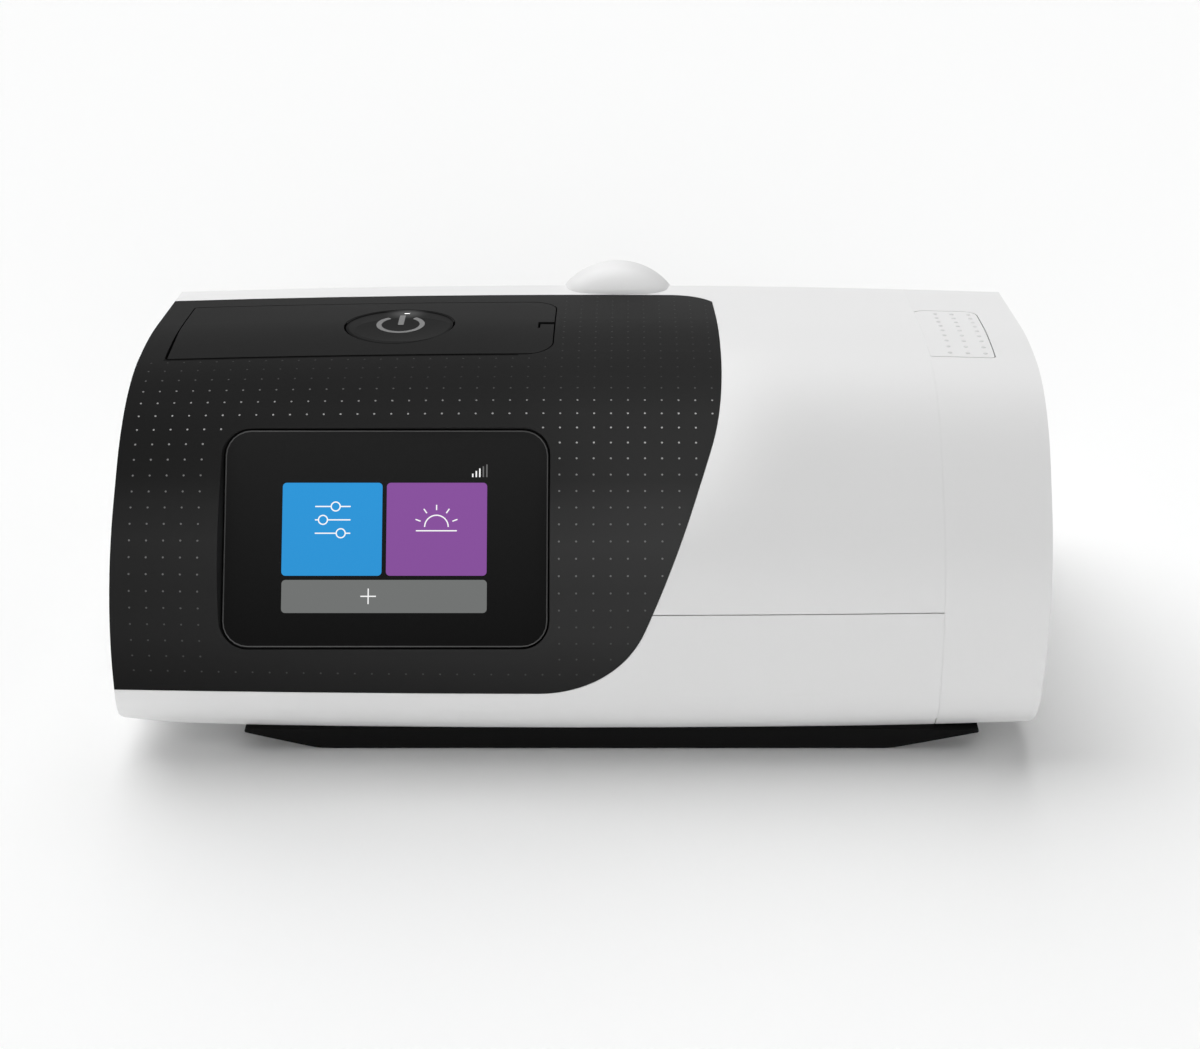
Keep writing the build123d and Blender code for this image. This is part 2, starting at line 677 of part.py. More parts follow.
def inlet_foam():
    foam_y = filter_seat_y - 0.2
    foam = slab(filter_x0, filter_x1 - 1.5, foam_y - 10.8, foam_y, floor_z + 1.9, filter_z1 + 1)
    return foam - slab(filter_x0 + 6, filter_x1 - 6, foam_y - 20, foam_y + 1, filter_z0 + 3.5, filter_z1 - 6)


# ================================================================ filter and its cover
def filter_opening(grow):
    return slab(filter_x0 - grow, filter_x1 + grow, rear_y - 7.25, far, filter_z0 - grow, filter_z1 + grow)


def filter_box():
    """Open frame behind the cover, part of the lower casing, that holds the filter."""
    x0, x1, z0, z1 = filter_x0 + 1, filter_x1 - 1, filter_z0 - 4.5, filter_z1 + 1.8
    outside = slab(x0 - 4, x1 + 4, filter_seat_y, filter_lip_y, floor_z - 0.3, z1) & envelope(wall / 2)
    inside = slab(x0 - 2.2, x1 + 2.2, filter_seat_y - 7, far, z0 + 2.6, filter_z1 + 0.2)
    return outside - inside


def filter_pin():
    y = rear_y - crown * (filter_x0 * 2 / width) ** 2 - filter_pin_drop
    return y, filter_z0 + filter_pin_rise


def filter_cover():
    y, z = filter_pin()
    region = slab(filter_x0 + body_gap, filter_x1 - body_gap, filter_seat_y - 7, far,
                  filter_z0 + body_gap, filter_z1 - body_gap)
    cover = SKIN & region
    barrel = rod_x(filter_pin_rise - body_gap, -far / 2, far / 2, y, z)
    cover -= slab(-far, far, y, far, 0, z) - barrel
    pitch = (filter_x1 - filter_x0 - 10) / slat_count
    for index in range(slat_count):
        x = filter_x0 + 5 + pitch * (index + 0.5)
        cover -= slab(x - pitch * 0.28, x + pitch * 0.28, filter_seat_y - 7, far, filter_z0 + 10, filter_z1 - 5)
    for x0 in (filter_x0 + 3, filter_x1 - 7):
        arm = slab(x0, x0 + 4, y, far, z - 1.6, z + 1.6) & envelope(0.8)
        arm += rod_x(1.6, x0, x0 + 4, y, z)
        cover += arm
    cover -= rod_x(filter_pin_r + fit_gap / 2, filter_x0, filter_x1, y, z)
    return cover


def filter_hinge_pin():
    y, z = filter_pin()
    return rod_x(filter_pin_r, filter_x0 - 2.2, filter_x1 + 2.2, y, z)


def air_filter():
    y, z = filter_pin()
    behind = y - (filter_pin_rise - body_gap) - filter_clear
    return slab(filter_x0 + 1, filter_x1 - 1, filter_seat_y + 0.2, behind, filter_z0 - 1.6, filter_z1 - 0.6)


# ================================================================ power inlet
def power_socket():
    back = rear_y - crown * (2 * inlet_x / width) ** 2
    body = slab(inlet_x - inlet_w / 2, inlet_x + inlet_w / 2, back - inlet_depth, back - 0.2,
                inlet_z - inlet_h / 2, inlet_z + inlet_h / 2)
    body += slab(inlet_x - inlet_w / 2 - 1.5, inlet_x + inlet_w / 2 + 1.5, back - inlet_depth, back - wall - 0.6,
                 inlet_z - inlet_h / 2 - 1.5, inlet_z + inlet_h / 2 + 1.5)
    body -= slab(inlet_x - inlet_hole_w / 2, inlet_x + inlet_hole_w / 2, back - 11, back + 5,
                 inlet_z - inlet_hole_h / 2, inlet_z + inlet_hole_h / 2)
    return body


def socket_contacts():
    back = rear_y - crown * (2 * inlet_x / width) ** 2
    blades = []
    for index in (-1, 0, 1):
        x = inlet_x + 3.4 * index
        blades.append(slab(x - 0.5, x + 0.5, back - 11, back - 8, inlet_z - 2, inlet_z + 2))
    return blades


# ================================================================ humidifier bay
def constant_section(inset, x0, x1):
    return extrude(Plane.YZ.offset(x0) * side_face(inset), amount=x1 - x0, dir=(1, 0, 0))


LINER_INSET = crown + wall + liner_clear
BAY_INSET = LINER_INSET + liner_wall
TUB_INSET = BAY_INSET + tub_clear


def bay_liner():
    liner = constant_section(LINER_INSET, bay_x0, mouth_x - 0.4)
    flange = crowned(wall + fit_gap) & slab(mouth_x - 2.2, mouth_x - 0.4, -far, far, floor_z, far)
    liner += flange
    liner &= above(floor_z + fit_gap)
    liner -= constant_section(BAY_INSET, bay_x0 + liner_wall, far)
    for y, z in (inlet_port, outlet_port):
        liner -= rod_x(port_r + 2.4, bay_x0 - 1, bay_x0 + 5, y, z)
    mid = (tub_x0 + mouth_x) / 2
    liner -= slab(mid - heater_w / 2 - fit_gap, mid + heater_w / 2 + fit_gap,
                  -heater_d / 2 - fit_gap, heater_d / 2 + fit_gap, 0, board_z / 2)
    return liner


def heater_plate():
    mid = (tub_x0 + mouth_x) / 2
    top = keel_z + TUB_INSET - 0.3
    plate = slab(mid - heater_w / 2, mid + heater_w / 2, -heater_d / 2, heater_d / 2, floor_z + 0.05, top)
    return fillet(plate.edges().filter_by(Axis.Z), 3)


def port_seal(y, z):
    seal = rod_x(port_r + 2.3, bay_x0, bay_x0 + liner_wall, y, z)
    seal += rod_x(port_r + 3.6, bay_x0 + liner_wall, bay_x0 + liner_wall + 0.6, y, z)
    return seal - rod_x(port_r, bay_x0 - 1, bay_x0 + 5, y, z)


def bay_port_seals():
    return [port_seal(*inlet_port), port_seal(*outlet_port)]


# ================================================================ tub
def tub_shell():
    shell = constant_section(TUB_INSET, tub_x0, mouth_x + seam_gap)
    cavity = constant_section(TUB_INSET + tub_wall, tub_x0 + tub_wall, mouth_x + seam_gap - tub_wall)
    return shell - cavity


def tub_base():
    base = tub_shell() & below(tub_rim_z - tub_seal_t / 2)
    mid = (tub_x0 + mouth_x) / 2
    base -= slab(mid - heater_w / 2 + 2, mid + heater_w / 2 - 2, -heater_d / 2 + 2, heater_d / 2 - 2, 0, 20)
    base -= slab(mid - heater_w / 2, mid + heater_w / 2, -heater_d / 2, heater_d / 2, 0, keel_z + TUB_INSET + 1.0)
    return base


def tub_heat_plate():
    mid = (tub_x0 + mouth_x) / 2
    bottom = keel_z + TUB_INSET
    return slab(mid - heater_w / 2 + 0.05, mid + heater_w / 2 - 0.05, -heater_d / 2 + 0.05, heater_d / 2 - 0.05,
                bottom, bottom + 1.0)


def tub_seal():
    return tub_shell() & slab(-far, far, -far, far, tub_rim_z - tub_seal_t / 2, tub_rim_z + tub_seal_t / 2)


def tub_lid():
    lid = tub_shell() & above(tub_rim_z + tub_seal_t / 2)
    for y, z in (inlet_port, outlet_port):
        lid += rod_x(port_r + port_wall, tub_x0, tub_x0 + 12, y, z)
        lid -= rod_x(port_r, tub_x0 - 1, tub_x0 + 13, y, z)
    return lid


def tub_end_cap():
    left = mouth_x + seam_gap
    right = slab(left, far, -far, far, -far, far)
    cap = (OUTER - INNER) & right
    web = envelope(wall / 2) & slab(left, left + 1.8, -far, far, -far, far)
    cap += web
    tray = pad_region(-wall) & slab(left, far, -far, far, 0, far)
    tray_floor = envelope(wall + pad_travel + 0.6) - envelope(wall + pad_travel + 2.2)
    collar = (pad_region(-wall) - pad_region(-body_gap)) & (envelope(1) - envelope(wall + pad_travel + 2.2))
    cap += (tray & tray_floor) + (collar & right)
    cap -= pad_region(-body_gap) - envelope(wall + pad_travel + 0.6)
    for x, y in pad_legs():
        cap -= rod(1.6 + body_gap, far, x, y, pad_leg_z(x, y) - 2)
    return cap


def tub_release_pad():
    pad = (OUTER - envelope(wall)) & pad_region(0)
    pad &= slab(mouth_x + seam_gap, far, -far, far, 0, far)
    for x, y in pad_legs():
        pad += rod(1.6, 60, x, y, pad_leg_z(x, y)) & envelope(wall / 2)
    return pad


def pad_leg_z(x, y):
    """Lower end of a leg of the release pad."""
    return top_z(x, y) - 9.0


def pad_legs():
    x = (mouth_x + seam_gap + pad_x1) / 2
    return [(x, pad_y0 + 10), (x, pad_y1 - 10)]


# ================================================================ air outlet
def outlet_spigot():
    face_y = hood_y0 + hood_wall
    tube = rod_y(spigot_r, face_y, spigot_end_y, outlet_x, outlet_z)
    tube = chamfer(tube.edges().sort_by(Axis.Y)[-1], 0.5)
    tube += rod_y(spigot_r - 0.5, hood_y0 - 4, face_y, outlet_x, outlet_z)
    return tube - rod_y(spigot_bore_r, 0, far, outlet_x, outlet_z)


def outlet_seal():
    y0 = hood_y0 - 4
    seal = rod_y(spigot_r + 1.4, y0, hood_y0 - fit_gap, outlet_x, outlet_z)
    return seal - rod_y(spigot_r - 0.5 + fit_gap / 2, 0, far, outlet_x, outlet_z)


# ================================================================ plinth, feet, screws
def base_plinth():
    side = [(plinth_left_foot_x, plinth_foot_z), (plinth_left_top_x, sole_height),
            (plinth_right_top_x, sole_height), (plinth_right_foot_x, plinth_foot_z)]
    block = prism_y(rounded_outline(side, [plinth_roll, 0.6, 0.6, plinth_roll]))
    block &= slab(-far, far, plinth_front_y, plinth_rear_y, 0, 20)
    block -= slab(mouth_x, far, -far, far, sole_height - body_gap, 20)
    pocket = slab(plinth_left_foot_x + 4, plinth_right_foot_x - 4, plinth_front_y + wall,
                  plinth_rear_y - wall, 3.2, 20)
    for x in (-40, 0, 45):
        pocket -= slab(x - 0.8, x + 0.8, -far, far, 0, 20)
    for x, y in feet:
        pocket -= rod(5.5, 20, x, y, 0)
    block -= pocket
    for x, y in feet:
        block -= rod(foot_r + fit_gap / 2, foot_t, x, y, 0)
        block -= rod(screw_head_r + 0.2, screw_head_t + 0.2, x, y, foot_t)
        block -= rod(screw_r + 0.2, 20, x, y, foot_t)
    return block


def rubber_feet():
    pads = []
    for x, y in feet:
        pad = rod(foot_r, foot_t, x, y, 0)
        pads.append(fillet(pad.edges().sort_by(Axis.Z)[0], 0.4))
    return pads


def screw(x, y, head_z, length):
    """Pan-head screw pointing up, its head's underside at head_z."""
    return rod(screw_head_r, screw_head_t, x, y, head_z - screw_head_t) + rod(screw_r, length, x, y, head_z - 0.1)


def casing_screws():
    made = [screw(x, y, foot_head_z, length) for (x, y), length in zip(feet, plinth_screw_lengths)]
    made += [screw(x, y, split_z - 12, 18) for x, y in fascia_bosses + casing_bosses]
    return made


def board_screws():
    made = []
    for x, y in posts:
        head = rod(screw_head_r, screw_head_t, x, y, board_z + board_t)
        made.append(head + rod(screw_r, 9, x, y, board_z + board_t - 8.9))
    return made


PIECES = [base_plinth, rubber_feet, lower_casing, upper_casing, front_fascia, screen_glass, screen_gasket,
          display_panel, card_well, card_door, hinge_pin, power_button, status_light_pipe, button_switch,
          main_board, radio_module, card_socket, memory_card, blower_lower, blower_upper, impeller,
          rotor_shaft, motor_bearings, motor_can, motor_stator, blower_mount, blower_duct, outlet_duct,
          inlet_foam, filter_cover, filter_hinge_pin, air_filter, power_socket, socket_contacts, bay_liner,
          heater_plate, bay_port_seals, tub_base, tub_heat_plate, tub_seal, tub_lid, tub_end_cap,
          tub_release_pad, outlet_spigot, outlet_seal, casing_screws, board_screws]


def main():
    os.makedirs("parts", exist_ok=True)
    for make in PIECES:
        shape = make()
        solids = []
        for item in (shape if isinstance(shape, list) else [shape]):
            solids.extend(item.solids())
        piece = solids[0] if len(solids) == 1 else Compound(children=solids)
        export_step(piece, f"parts/{make.__name__}.step")


main()
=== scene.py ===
"""Finishes, lit display, printed dots, lights and camera for a bedside breathing-therapy machine.

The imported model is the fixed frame. Every length below is in millimetres unless its name ends in _m.
"""

from __future__ import annotations

import logging
import math
from dataclasses import dataclass
from enum import Enum
from typing import Mapping, Sequence, Union

import bmesh
import bpy
from mathutils import Matrix, Vector
from mathutils.bvhtree import BVHTree


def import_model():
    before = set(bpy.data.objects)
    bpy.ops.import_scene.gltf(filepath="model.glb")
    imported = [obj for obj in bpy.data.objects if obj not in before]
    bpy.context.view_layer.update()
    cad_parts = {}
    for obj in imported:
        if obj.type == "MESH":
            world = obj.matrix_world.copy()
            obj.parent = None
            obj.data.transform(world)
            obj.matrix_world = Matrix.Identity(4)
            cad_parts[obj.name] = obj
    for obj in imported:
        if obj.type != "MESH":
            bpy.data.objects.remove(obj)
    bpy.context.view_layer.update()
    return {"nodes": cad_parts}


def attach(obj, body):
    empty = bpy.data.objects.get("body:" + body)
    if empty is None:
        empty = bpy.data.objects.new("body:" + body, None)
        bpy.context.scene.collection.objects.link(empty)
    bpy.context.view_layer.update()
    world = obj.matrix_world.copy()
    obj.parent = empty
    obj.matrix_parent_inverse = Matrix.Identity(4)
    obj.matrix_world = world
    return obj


LOG = logging.getLogger("therapy_machine")
MM = 0.001

CLOUD_M = 0.05
GRAIN_STRENGTH = 0.35
RAY_START_M = 0.2
OVERHEAD_M = 0.15
DOT_RISE = 0.4
DOT_TAPER = 0.6

BMesh = bmesh.types.BMesh
Object = bpy.types.Object
Pair = tuple[float, float]
Triple = tuple[float, float, float]
Colour = Triple
Stops = Sequence[Pair]
Hit = tuple[Vector, Vector]
Feed = Union["Signal", float, Sequence[float]]


# ---- Shader building ----
class Signal:
    """A shader value; Python arithmetic on it adds Math nodes."""

    def __init__(self, graph: Graph, socket: bpy.types.NodeSocket) -> None:
        """Wraps one output socket of a material."""
        self.graph = graph
        self.socket = socket

    def _math(self, operation: str, *values: Feed) -> Signal:
        """One Math node over the given values."""
        return self.graph.node("ShaderNodeMath", {"operation": operation}, dict(enumerate(values)))

    def __add__(self, other: Feed) -> Signal:
        """self + other."""
        return self._math("ADD", self, other)

    __radd__ = __add__

    def __sub__(self, other: Feed) -> Signal:
        """self - other."""
        return self._math("SUBTRACT", self, other)

    def __rsub__(self, other: Feed) -> Signal:
        """other - self."""
        return self._math("SUBTRACT", other, self)

    def __mul__(self, other: Feed) -> Signal:
        """self * other."""
        return self._math("MULTIPLY", self, other)

    __rmul__ = __mul__

    def __truediv__(self, other: Feed) -> Signal:
        """self / other."""
        return self._math("DIVIDE", self, other)

    def __rtruediv__(self, other: Feed) -> Signal:
        """other / self."""
        return self._math("DIVIDE", other, self)

    def __gt__(self, other: Feed) -> Signal:
        """1 where self is greater than other, 0 elsewhere."""
        return self._math("GREATER_THAN", self, other)

    def __lt__(self, other: Feed) -> Signal:
        """1 where self is less than other, 0 elsewhere."""
        return self._math("LESS_THAN", self, other)

    def root(self) -> Signal:
        """The square root."""
        return self._math("SQRT", self)

    def clamped(self) -> Signal:
        """The value held between 0 and 1."""
        return self.graph.node("ShaderNodeClamp", {}, {"Value": self})

    def about(self, middle: float, reach: float) -> Signal:
        """A value about 0.5 turned into one about a middle, straying from it by up to a reach."""
        return (self - 0.5) * (2 * reach) + middle


class Graph:
    """One material's node tree, with its Principled shader and output in place."""

    def __init__(self, name: str) -> None:
        """Starts an empty material.

        Args:
            name: the material's name.
        """
        self.material = bpy.data.materials.new(name)
        self.material.use_nodes = True
        self.tree = self.material.node_tree
        self.tree.nodes.clear()
        self.shader = self.tree.nodes.new("ShaderNodeBsdfPrincipled")
        self.output = self.tree.nodes.new("ShaderNodeOutputMaterial")
        self.tree.links.new(self.shader.outputs[0], self.output.inputs["Surface"])

    def feed(self, socket: bpy.types.NodeSocket, value: Feed) -> None:
        """Links a signal into a socket, or sets the socket's own value.

        Args:
            socket: the input socket.
            value: a signal, a number or the parts of a colour or vector.
        """
        if isinstance(value, Signal):
            self.tree.links.new(value.socket, socket)
        elif isinstance(value, (int, float)):
            socket.default_value = value
        else:
            socket.default_value = (*value, 1.0)[:len(socket.default_value)]

    def node(self, kind: str, settings: Mapping[str, object] | None = None,
             feeds: Mapping[str | int, Feed] | None = None, output: str | int = 0) -> Signal:
        """Adds one node.

        Args:
            kind: the node's type name.
            settings: attributes set before the inputs.
            feeds: input name or index to a value or signal.
            output: the output to return.

        Returns:
            The chosen output as a Signal.
        """
        made = self.tree.nodes.new(kind)
        for name, value in (settings or {}).items():
            setattr(made, name, value)
        for name, value in (feeds or {}).items():
            self.feed(made.inputs[name], value)
        return Signal(self, made.outputs[output])

    def place(self) -> Signal:
        """Object coordinates, which are row-frame metres on every piece."""
        return self.node("ShaderNodeTexCoord", output="Object")

    def axis(self, name: str) -> Signal:
        """One component of the object coordinates."""
        return self.node("ShaderNodeSeparateXYZ", {}, {0: self.place()}, name)

    def along(self, name: str, start: float, end: float) -> Signal:
        """Share of the way between two places along an axis: 0 at the first and 1 at the second."""
        return (self.axis(name) - start * MM) / ((end - start) * MM)

    def ramp(self, share: Signal, stops: Stops) -> Signal:
        """Level at a share of the way along some stops.

        Args:
            share: the share of the way.
            stops: (position, level) pairs.

        Returns:
            The level.
        """
        made = self.tree.nodes.new("ShaderNodeValToRGB")
        elements = made.color_ramp.elements
        while len(elements) < len(stops):
            elements.new(0.5)
        for element, (position, level) in zip(elements, stops):
            element.position = position
            element.color = (*even(level), 1.0)
        self.feed(made.inputs["Fac"], share)
        return Signal(self, made.outputs[0])

    def spread(self, centre: Pair, unit: float = 1.0) -> Signal:
        """Squared distance from a place seen from above, in a unit of so many millimetres."""
        across, depth = ((self.axis(name) - at * MM) / (unit * MM) for name, at in zip("XY", centre))
        return across * across + depth * depth

    def noise(self, cell_m: float, detail: float = 2.0, stretch: Sequence[float] = (1, 1, 1)) -> Signal:
        """Clouds about 0.5: the size of one, octaves of finer detail, and a stretch along each axis."""
        vector = self.node("ShaderNodeMapping", {}, {"Vector": self.place(), "Scale": [1 / s for s in stretch]})
        return self.node("ShaderNodeTexNoise", {}, {"Vector": vector, "Scale": 1 / cell_m, "Detail": detail})

    def blend(self, factor: Feed, first: Feed, second: Feed) -> Signal:
        """A colour between two, by a factor."""
        return self.node("ShaderNodeMix", {"data_type": "RGBA"}, {0: factor, 6: first, 7: second}, 2)

    def grey(self, level: Signal) -> Signal:
        """A grey colour of the given level."""
        return self.blend(level, even(0.0), even(1.0))

    def grain(self, cell_m: float, depth_m: float) -> Signal:
        """The normal of a sparked mould's texture."""
        return self.bump(self.noise(cell_m, detail=3.0), GRAIN_STRENGTH, depth_m)

    def bump(self, height: Signal, strength: float, distance_m: float) -> Signal:
        """A Bump node's normal."""
        return self.node("ShaderNodeBump", {}, {"Height": height, "Strength": strength, "Distance": distance_m})

    def set(self, **sockets: Feed) -> None:
        """Sets the Principled shader's sockets; underscores in names stand for spaces."""
        for name, value in sockets.items():
            self.feed(self.shader.inputs[name.replace("_", " ")], value)


def even(level: float) -> Colour:
    """A plain grey."""
    return (level, level, level)


def scaled(colour: Colour, factor: float) -> Colour:
    """A colour made lighter or darker."""
    return (colour[0] * factor, colour[1] * factor, colour[2] * factor)


# ---- Finishes ----
@dataclass(frozen=True)
class Recipe:
    """A material's recipe; each kind of it feeds the shader in its own way."""

    name: str

    def feed(self, graph: Graph) -> None:
        """Feeds the shader of a material's graph."""
        raise NotImplementedError

    def build(self) -> bpy.types.Material:
        """Makes the material."""
        graph = Graph(self.name)
        self.feed(graph)
        return graph.material


@dataclass(frozen=True)
class Moulding(Recipe):
    """Moulded plastic or rubber with a fine sparked texture, whose colour and gloss drift a little."""

    colour: Colour
    roughness: float = 0.45
    grain_m: float = 0.0004
    grain_depth_m: float = 0.000012
    mottle: float = 0.015
    gloss_drift: float = 0.05
    specular: float = 0.5

    def feed(self, graph: Graph) -> None:
        """Feeds the shader."""
        drift = graph.noise(CLOUD_M, detail=1.0)
        graph.set(Base_Color=graph.blend(drift, scaled(self.colour, 1 - self.mottle),
                                         scaled(self.colour, 1 + self.mottle)),
                  Roughness=drift.about(self.roughness, self.gloss_drift), Specular_IOR_Level=self.specular,
                  Normal=graph.grain(self.grain_m, self.grain_depth_m))


@dataclass(frozen=True)
class PaintedSeamShade:
    """A strip beside a joint, seen from above, where shade is painted on the moulding."""

    left: float
    right: float
    front: float
    rear: float

    def mask(self, graph: Graph) -> Signal:
        """1 in the strip, 0 elsewhere."""
        across, depth = graph.axis("X"), graph.axis("Y")
        return ((across > self.left * MM) * (across < self.right * MM)
                * (depth > self.front * MM) * (depth < self.rear * MM))


@dataclass(frozen=True)
class PaintedLampGlow:
    """Painted light: brightness set in a surface's emission, as a small lamp would spill round it."""

    centre: Pair = (-53.8, 33.8)
    reach: float = 8.0
    level: float = 0.07

    def light(self, graph: Graph) -> Signal:
        """Painted brightness round the lamp."""
        near = (1.0 - graph.spread(self.centre, self.reach)).clamped()
        return near * near * near * self.level


@dataclass(frozen=True)
class Charcoal(Recipe):
    """Dark sparked moulding of the front, with painted light paler to the right and in bands, and painted shade at
    a cover's joint.

    Attributes:
        bands: (share of the height, factor) pairs, from the foot up; painted light and shade up the front.
    """

    painted_seam_shade: PaintedSeamShade
    shade: float = 0.95
    shaded_left_tone: float = 0.0165
    lit_right_tone: float = 0.031
    left_x: float = -125.0
    right_x: float = 38.0
    top_z: float = 95.0
    bands: Stops = ((0.22, 0.75), (0.33, 1.0), (0.42, 1.25), (0.55, 1.35), (0.66, 1.6), (0.74, 1.35), (0.8, 1.0),
                    (0.93, 0.88), (1.0, 0.55))
    mottle: float = 0.03
    roughness: float = 0.5
    gloss_drift: float = 0.04
    grain_m: float = 0.00045
    grain_depth_m: float = 0.000014
    specular: float = 0.008

    def feed(self, graph: Graph) -> None:
        """Feeds the shader.

        Args:
            graph: the material's graph.
        """
        # Painted light: paler towards the right, which takes more light.
        share = graph.along("X", self.left_x, self.right_x).clamped()
        level = share * (self.lit_right_tone - self.shaded_left_tone) + self.shaded_left_tone
        # Painted light and shade in bands up the height.
        band = graph.ramp(graph.along("Z", 0.0, self.top_z), self.bands)
        drift = graph.noise(CLOUD_M, detail=1.0)
        # Painted shade in the strip beside the cover's joint.
        light = 1.0 - self.painted_seam_shade.mask(graph) * self.shade
        graph.set(Base_Color=graph.grey(level * band * light * drift.about(1.0, self.mottle)),
                  Roughness=drift.about(self.roughness, self.gloss_drift), Specular_IOR_Level=self.specular,
                  Normal=graph.grain(self.grain_m, self.grain_depth_m))


@dataclass(frozen=True)
class DishedButton(Recipe):
    """Dark button with painted shade along its front rim, and painted light round the status lamp.

    Attributes:
        shade_middle: share of the painted shade at the button's middle line.
        shade_fade: depth over which the painted shade goes from none to full.
    """

    tone: float = 0.012
    centre: Pair = (-54.7, 20.2)
    rim: float = 14.7
    rim_width: float = 0.5
    shade: float = 0.95
    shade_middle: float = 0.55
    shade_fade: float = 9.0
    mottle: float = 0.05
    mottle_m: float = 0.02
    roughness: float = 0.5
    gloss_drift: float = 0.04
    grain_m: float = 0.0004
    grain_depth_m: float = 0.00001
    specular: float = 0.008
    painted_glow: PaintedLampGlow = PaintedLampGlow()

    def feed(self, graph: Graph) -> None:
        """Feeds the shader.

        Args:
            graph: the material's graph.
        """
        # Painted shade along the front half of the rim.
        edge = ((graph.spread(self.centre).root() - self.rim) / self.rim_width).clamped()
        behind = graph.along("Y", self.centre[1], self.centre[1] + self.shade_fade)
        front = (self.shade_middle - behind).clamped()
        drift = graph.noise(self.mottle_m)
        light = (1.0 - edge * front * self.shade) * drift.about(1.0, self.mottle)
        # The emission is painted light from the status lamp; the button itself is no lamp.
        graph.set(Base_Color=graph.grey(light * self.tone), Specular_IOR_Level=self.specular,
                  Emission_Color=graph.grey(self.painted_glow.light(graph)), Emission_Strength=1.0,
                  Roughness=drift.about(self.roughness, self.gloss_drift),
                  Normal=graph.grain(self.grain_m, self.grain_depth_m))


@dataclass(frozen=True)
class PolishedPanel(Recipe):
    """Hard, polished dark panel with wiping marks, and a painted reflection that pales it towards its upper edge.
    """

    colour: Colour
    upper: Colour
    low_z: float = 36.0
    high_z: float = 84.0
    roughness: float = 0.1
    wipe: float = 0.05
    wipe_m: float = 0.03
    specular: float = 0.05

    def feed(self, graph: Graph) -> None:
        """Feeds the shader."""
        # Painted reflection: the colour pales towards the top.
        rise = graph.along("Z", self.low_z, self.high_z).clamped()
        graph.set(Base_Color=graph.blend(rise, self.colour, self.upper), Specular_IOR_Level=self.specular,
                  Roughness=graph.noise(self.wipe_m, detail=3.0, stretch=(3, 1, 1)) * self.wipe + self.roughness)


@dataclass(frozen=True)
class Metal(Recipe):
    """Bare metal with a brushed or turned direction."""

    colour: Colour
    roughness: float = 0.32
    lay: Triple = (30.0, 1.0, 1.0)
    line_m: float = 0.0003
    gloss_drift: float = 0.1

    def feed(self, graph: Graph) -> None:
        """Feeds the shader."""
        lines = graph.noise(self.line_m, stretch=self.lay)
        graph.set(Base_Color=graph.blend(lines, scaled(self.colour, 0.85), scaled(self.colour, 1.1)), Metallic=1.0,
                  Roughness=lines.about(self.roughness, self.gloss_drift),
                  Normal=graph.bump(lines, strength=0.2, distance_m=0.00001))


@dataclass(frozen=True)
class ClearMoulding(Recipe):
    """Clear polycarbonate with slightly frosted walls."""

    colour: Colour
    frosting: float = 0.12
    polish: float = 0.05
    clearness: float = 0.75
    refraction: float = 1.45

    def feed(self, graph: Graph) -> None:
        """Feeds the shader."""
        frost = graph.noise(cell_m=0.012)
        graph.set(Base_Color=graph.blend(frost, scaled(self.colour, 0.96), self.colour), IOR=self.refraction,
                  Roughness=frost * self.frosting + self.polish, Transmission_Weight=self.clearness)


@dataclass(frozen=True)
class CircuitBoard(Recipe):
    """Green solder mask with copper tracks under it."""

    mask: Colour = (0.012, 0.12, 0.05)
    track: Colour = (0.05, 0.24, 0.10)
    track_m: float = 0.00035
    length_m: float = 0.011
    pitch_m: float = 0.0031

    def feed(self, graph: Graph) -> None:
        """Feeds the shader."""
        cell = graph.node("ShaderNodeTexBrick", {"offset": 0.35},
                          {"Vector": graph.place(), "Scale": 1.0, "Mortar Size": self.track_m,
                           "Brick Width": self.length_m, "Row Height": self.pitch_m,
                           "Color1": even(0.0), "Color2": even(0.0), "Mortar": even(1.0)})
        graph.set(Base_Color=graph.blend(cell, self.mask, self.track), Roughness=0.35 - cell * 0.08,
                  Normal=graph.bump(cell, strength=0.4, distance_m=0.00004))


@dataclass(frozen=True)
class PorousMedium(Recipe):
    """Open-cell foam or filter felt."""

    colour: Colour
    pore_m: float = 0.0011
    depth_m: float = 0.0007
    pore_tone: float = 0.55

    def feed(self, graph: Graph) -> None:
        """Feeds the shader."""
        pores = graph.node("ShaderNodeTexVoronoi", {"feature": "F1"},
                           {"Vector": graph.place(), "Scale": 1 / self.pore_m})
        graph.set(Base_Color=graph.blend(pores, self.colour, scaled(self.colour, self.pore_tone)), Roughness=0.95,
                  Normal=graph.bump(pores, strength=0.9, distance_m=self.depth_m), Sheen_Weight=0.3)


@dataclass(frozen=True)
class LitInk(Recipe):
    """A lit element of the display or a lamp, a little brighter towards its top."""

    colour: Colour
    strength: float = 1.0
    top_z: float = 80.0
    bottom_z: float = 40.0
    top_tone: float = 1.08

    def feed(self, graph: Graph) -> None:
        """Feeds the shader."""
        rise = graph.along("Z", self.bottom_z, self.top_z).clamped()
        graph.set(Base_Color=even(0.01), Roughness=0.12, Specular_IOR_Level=0.04, Emission_Strength=self.strength,
                  Emission_Color=graph.blend(rise, self.colour, scaled(self.colour, self.top_tone)))


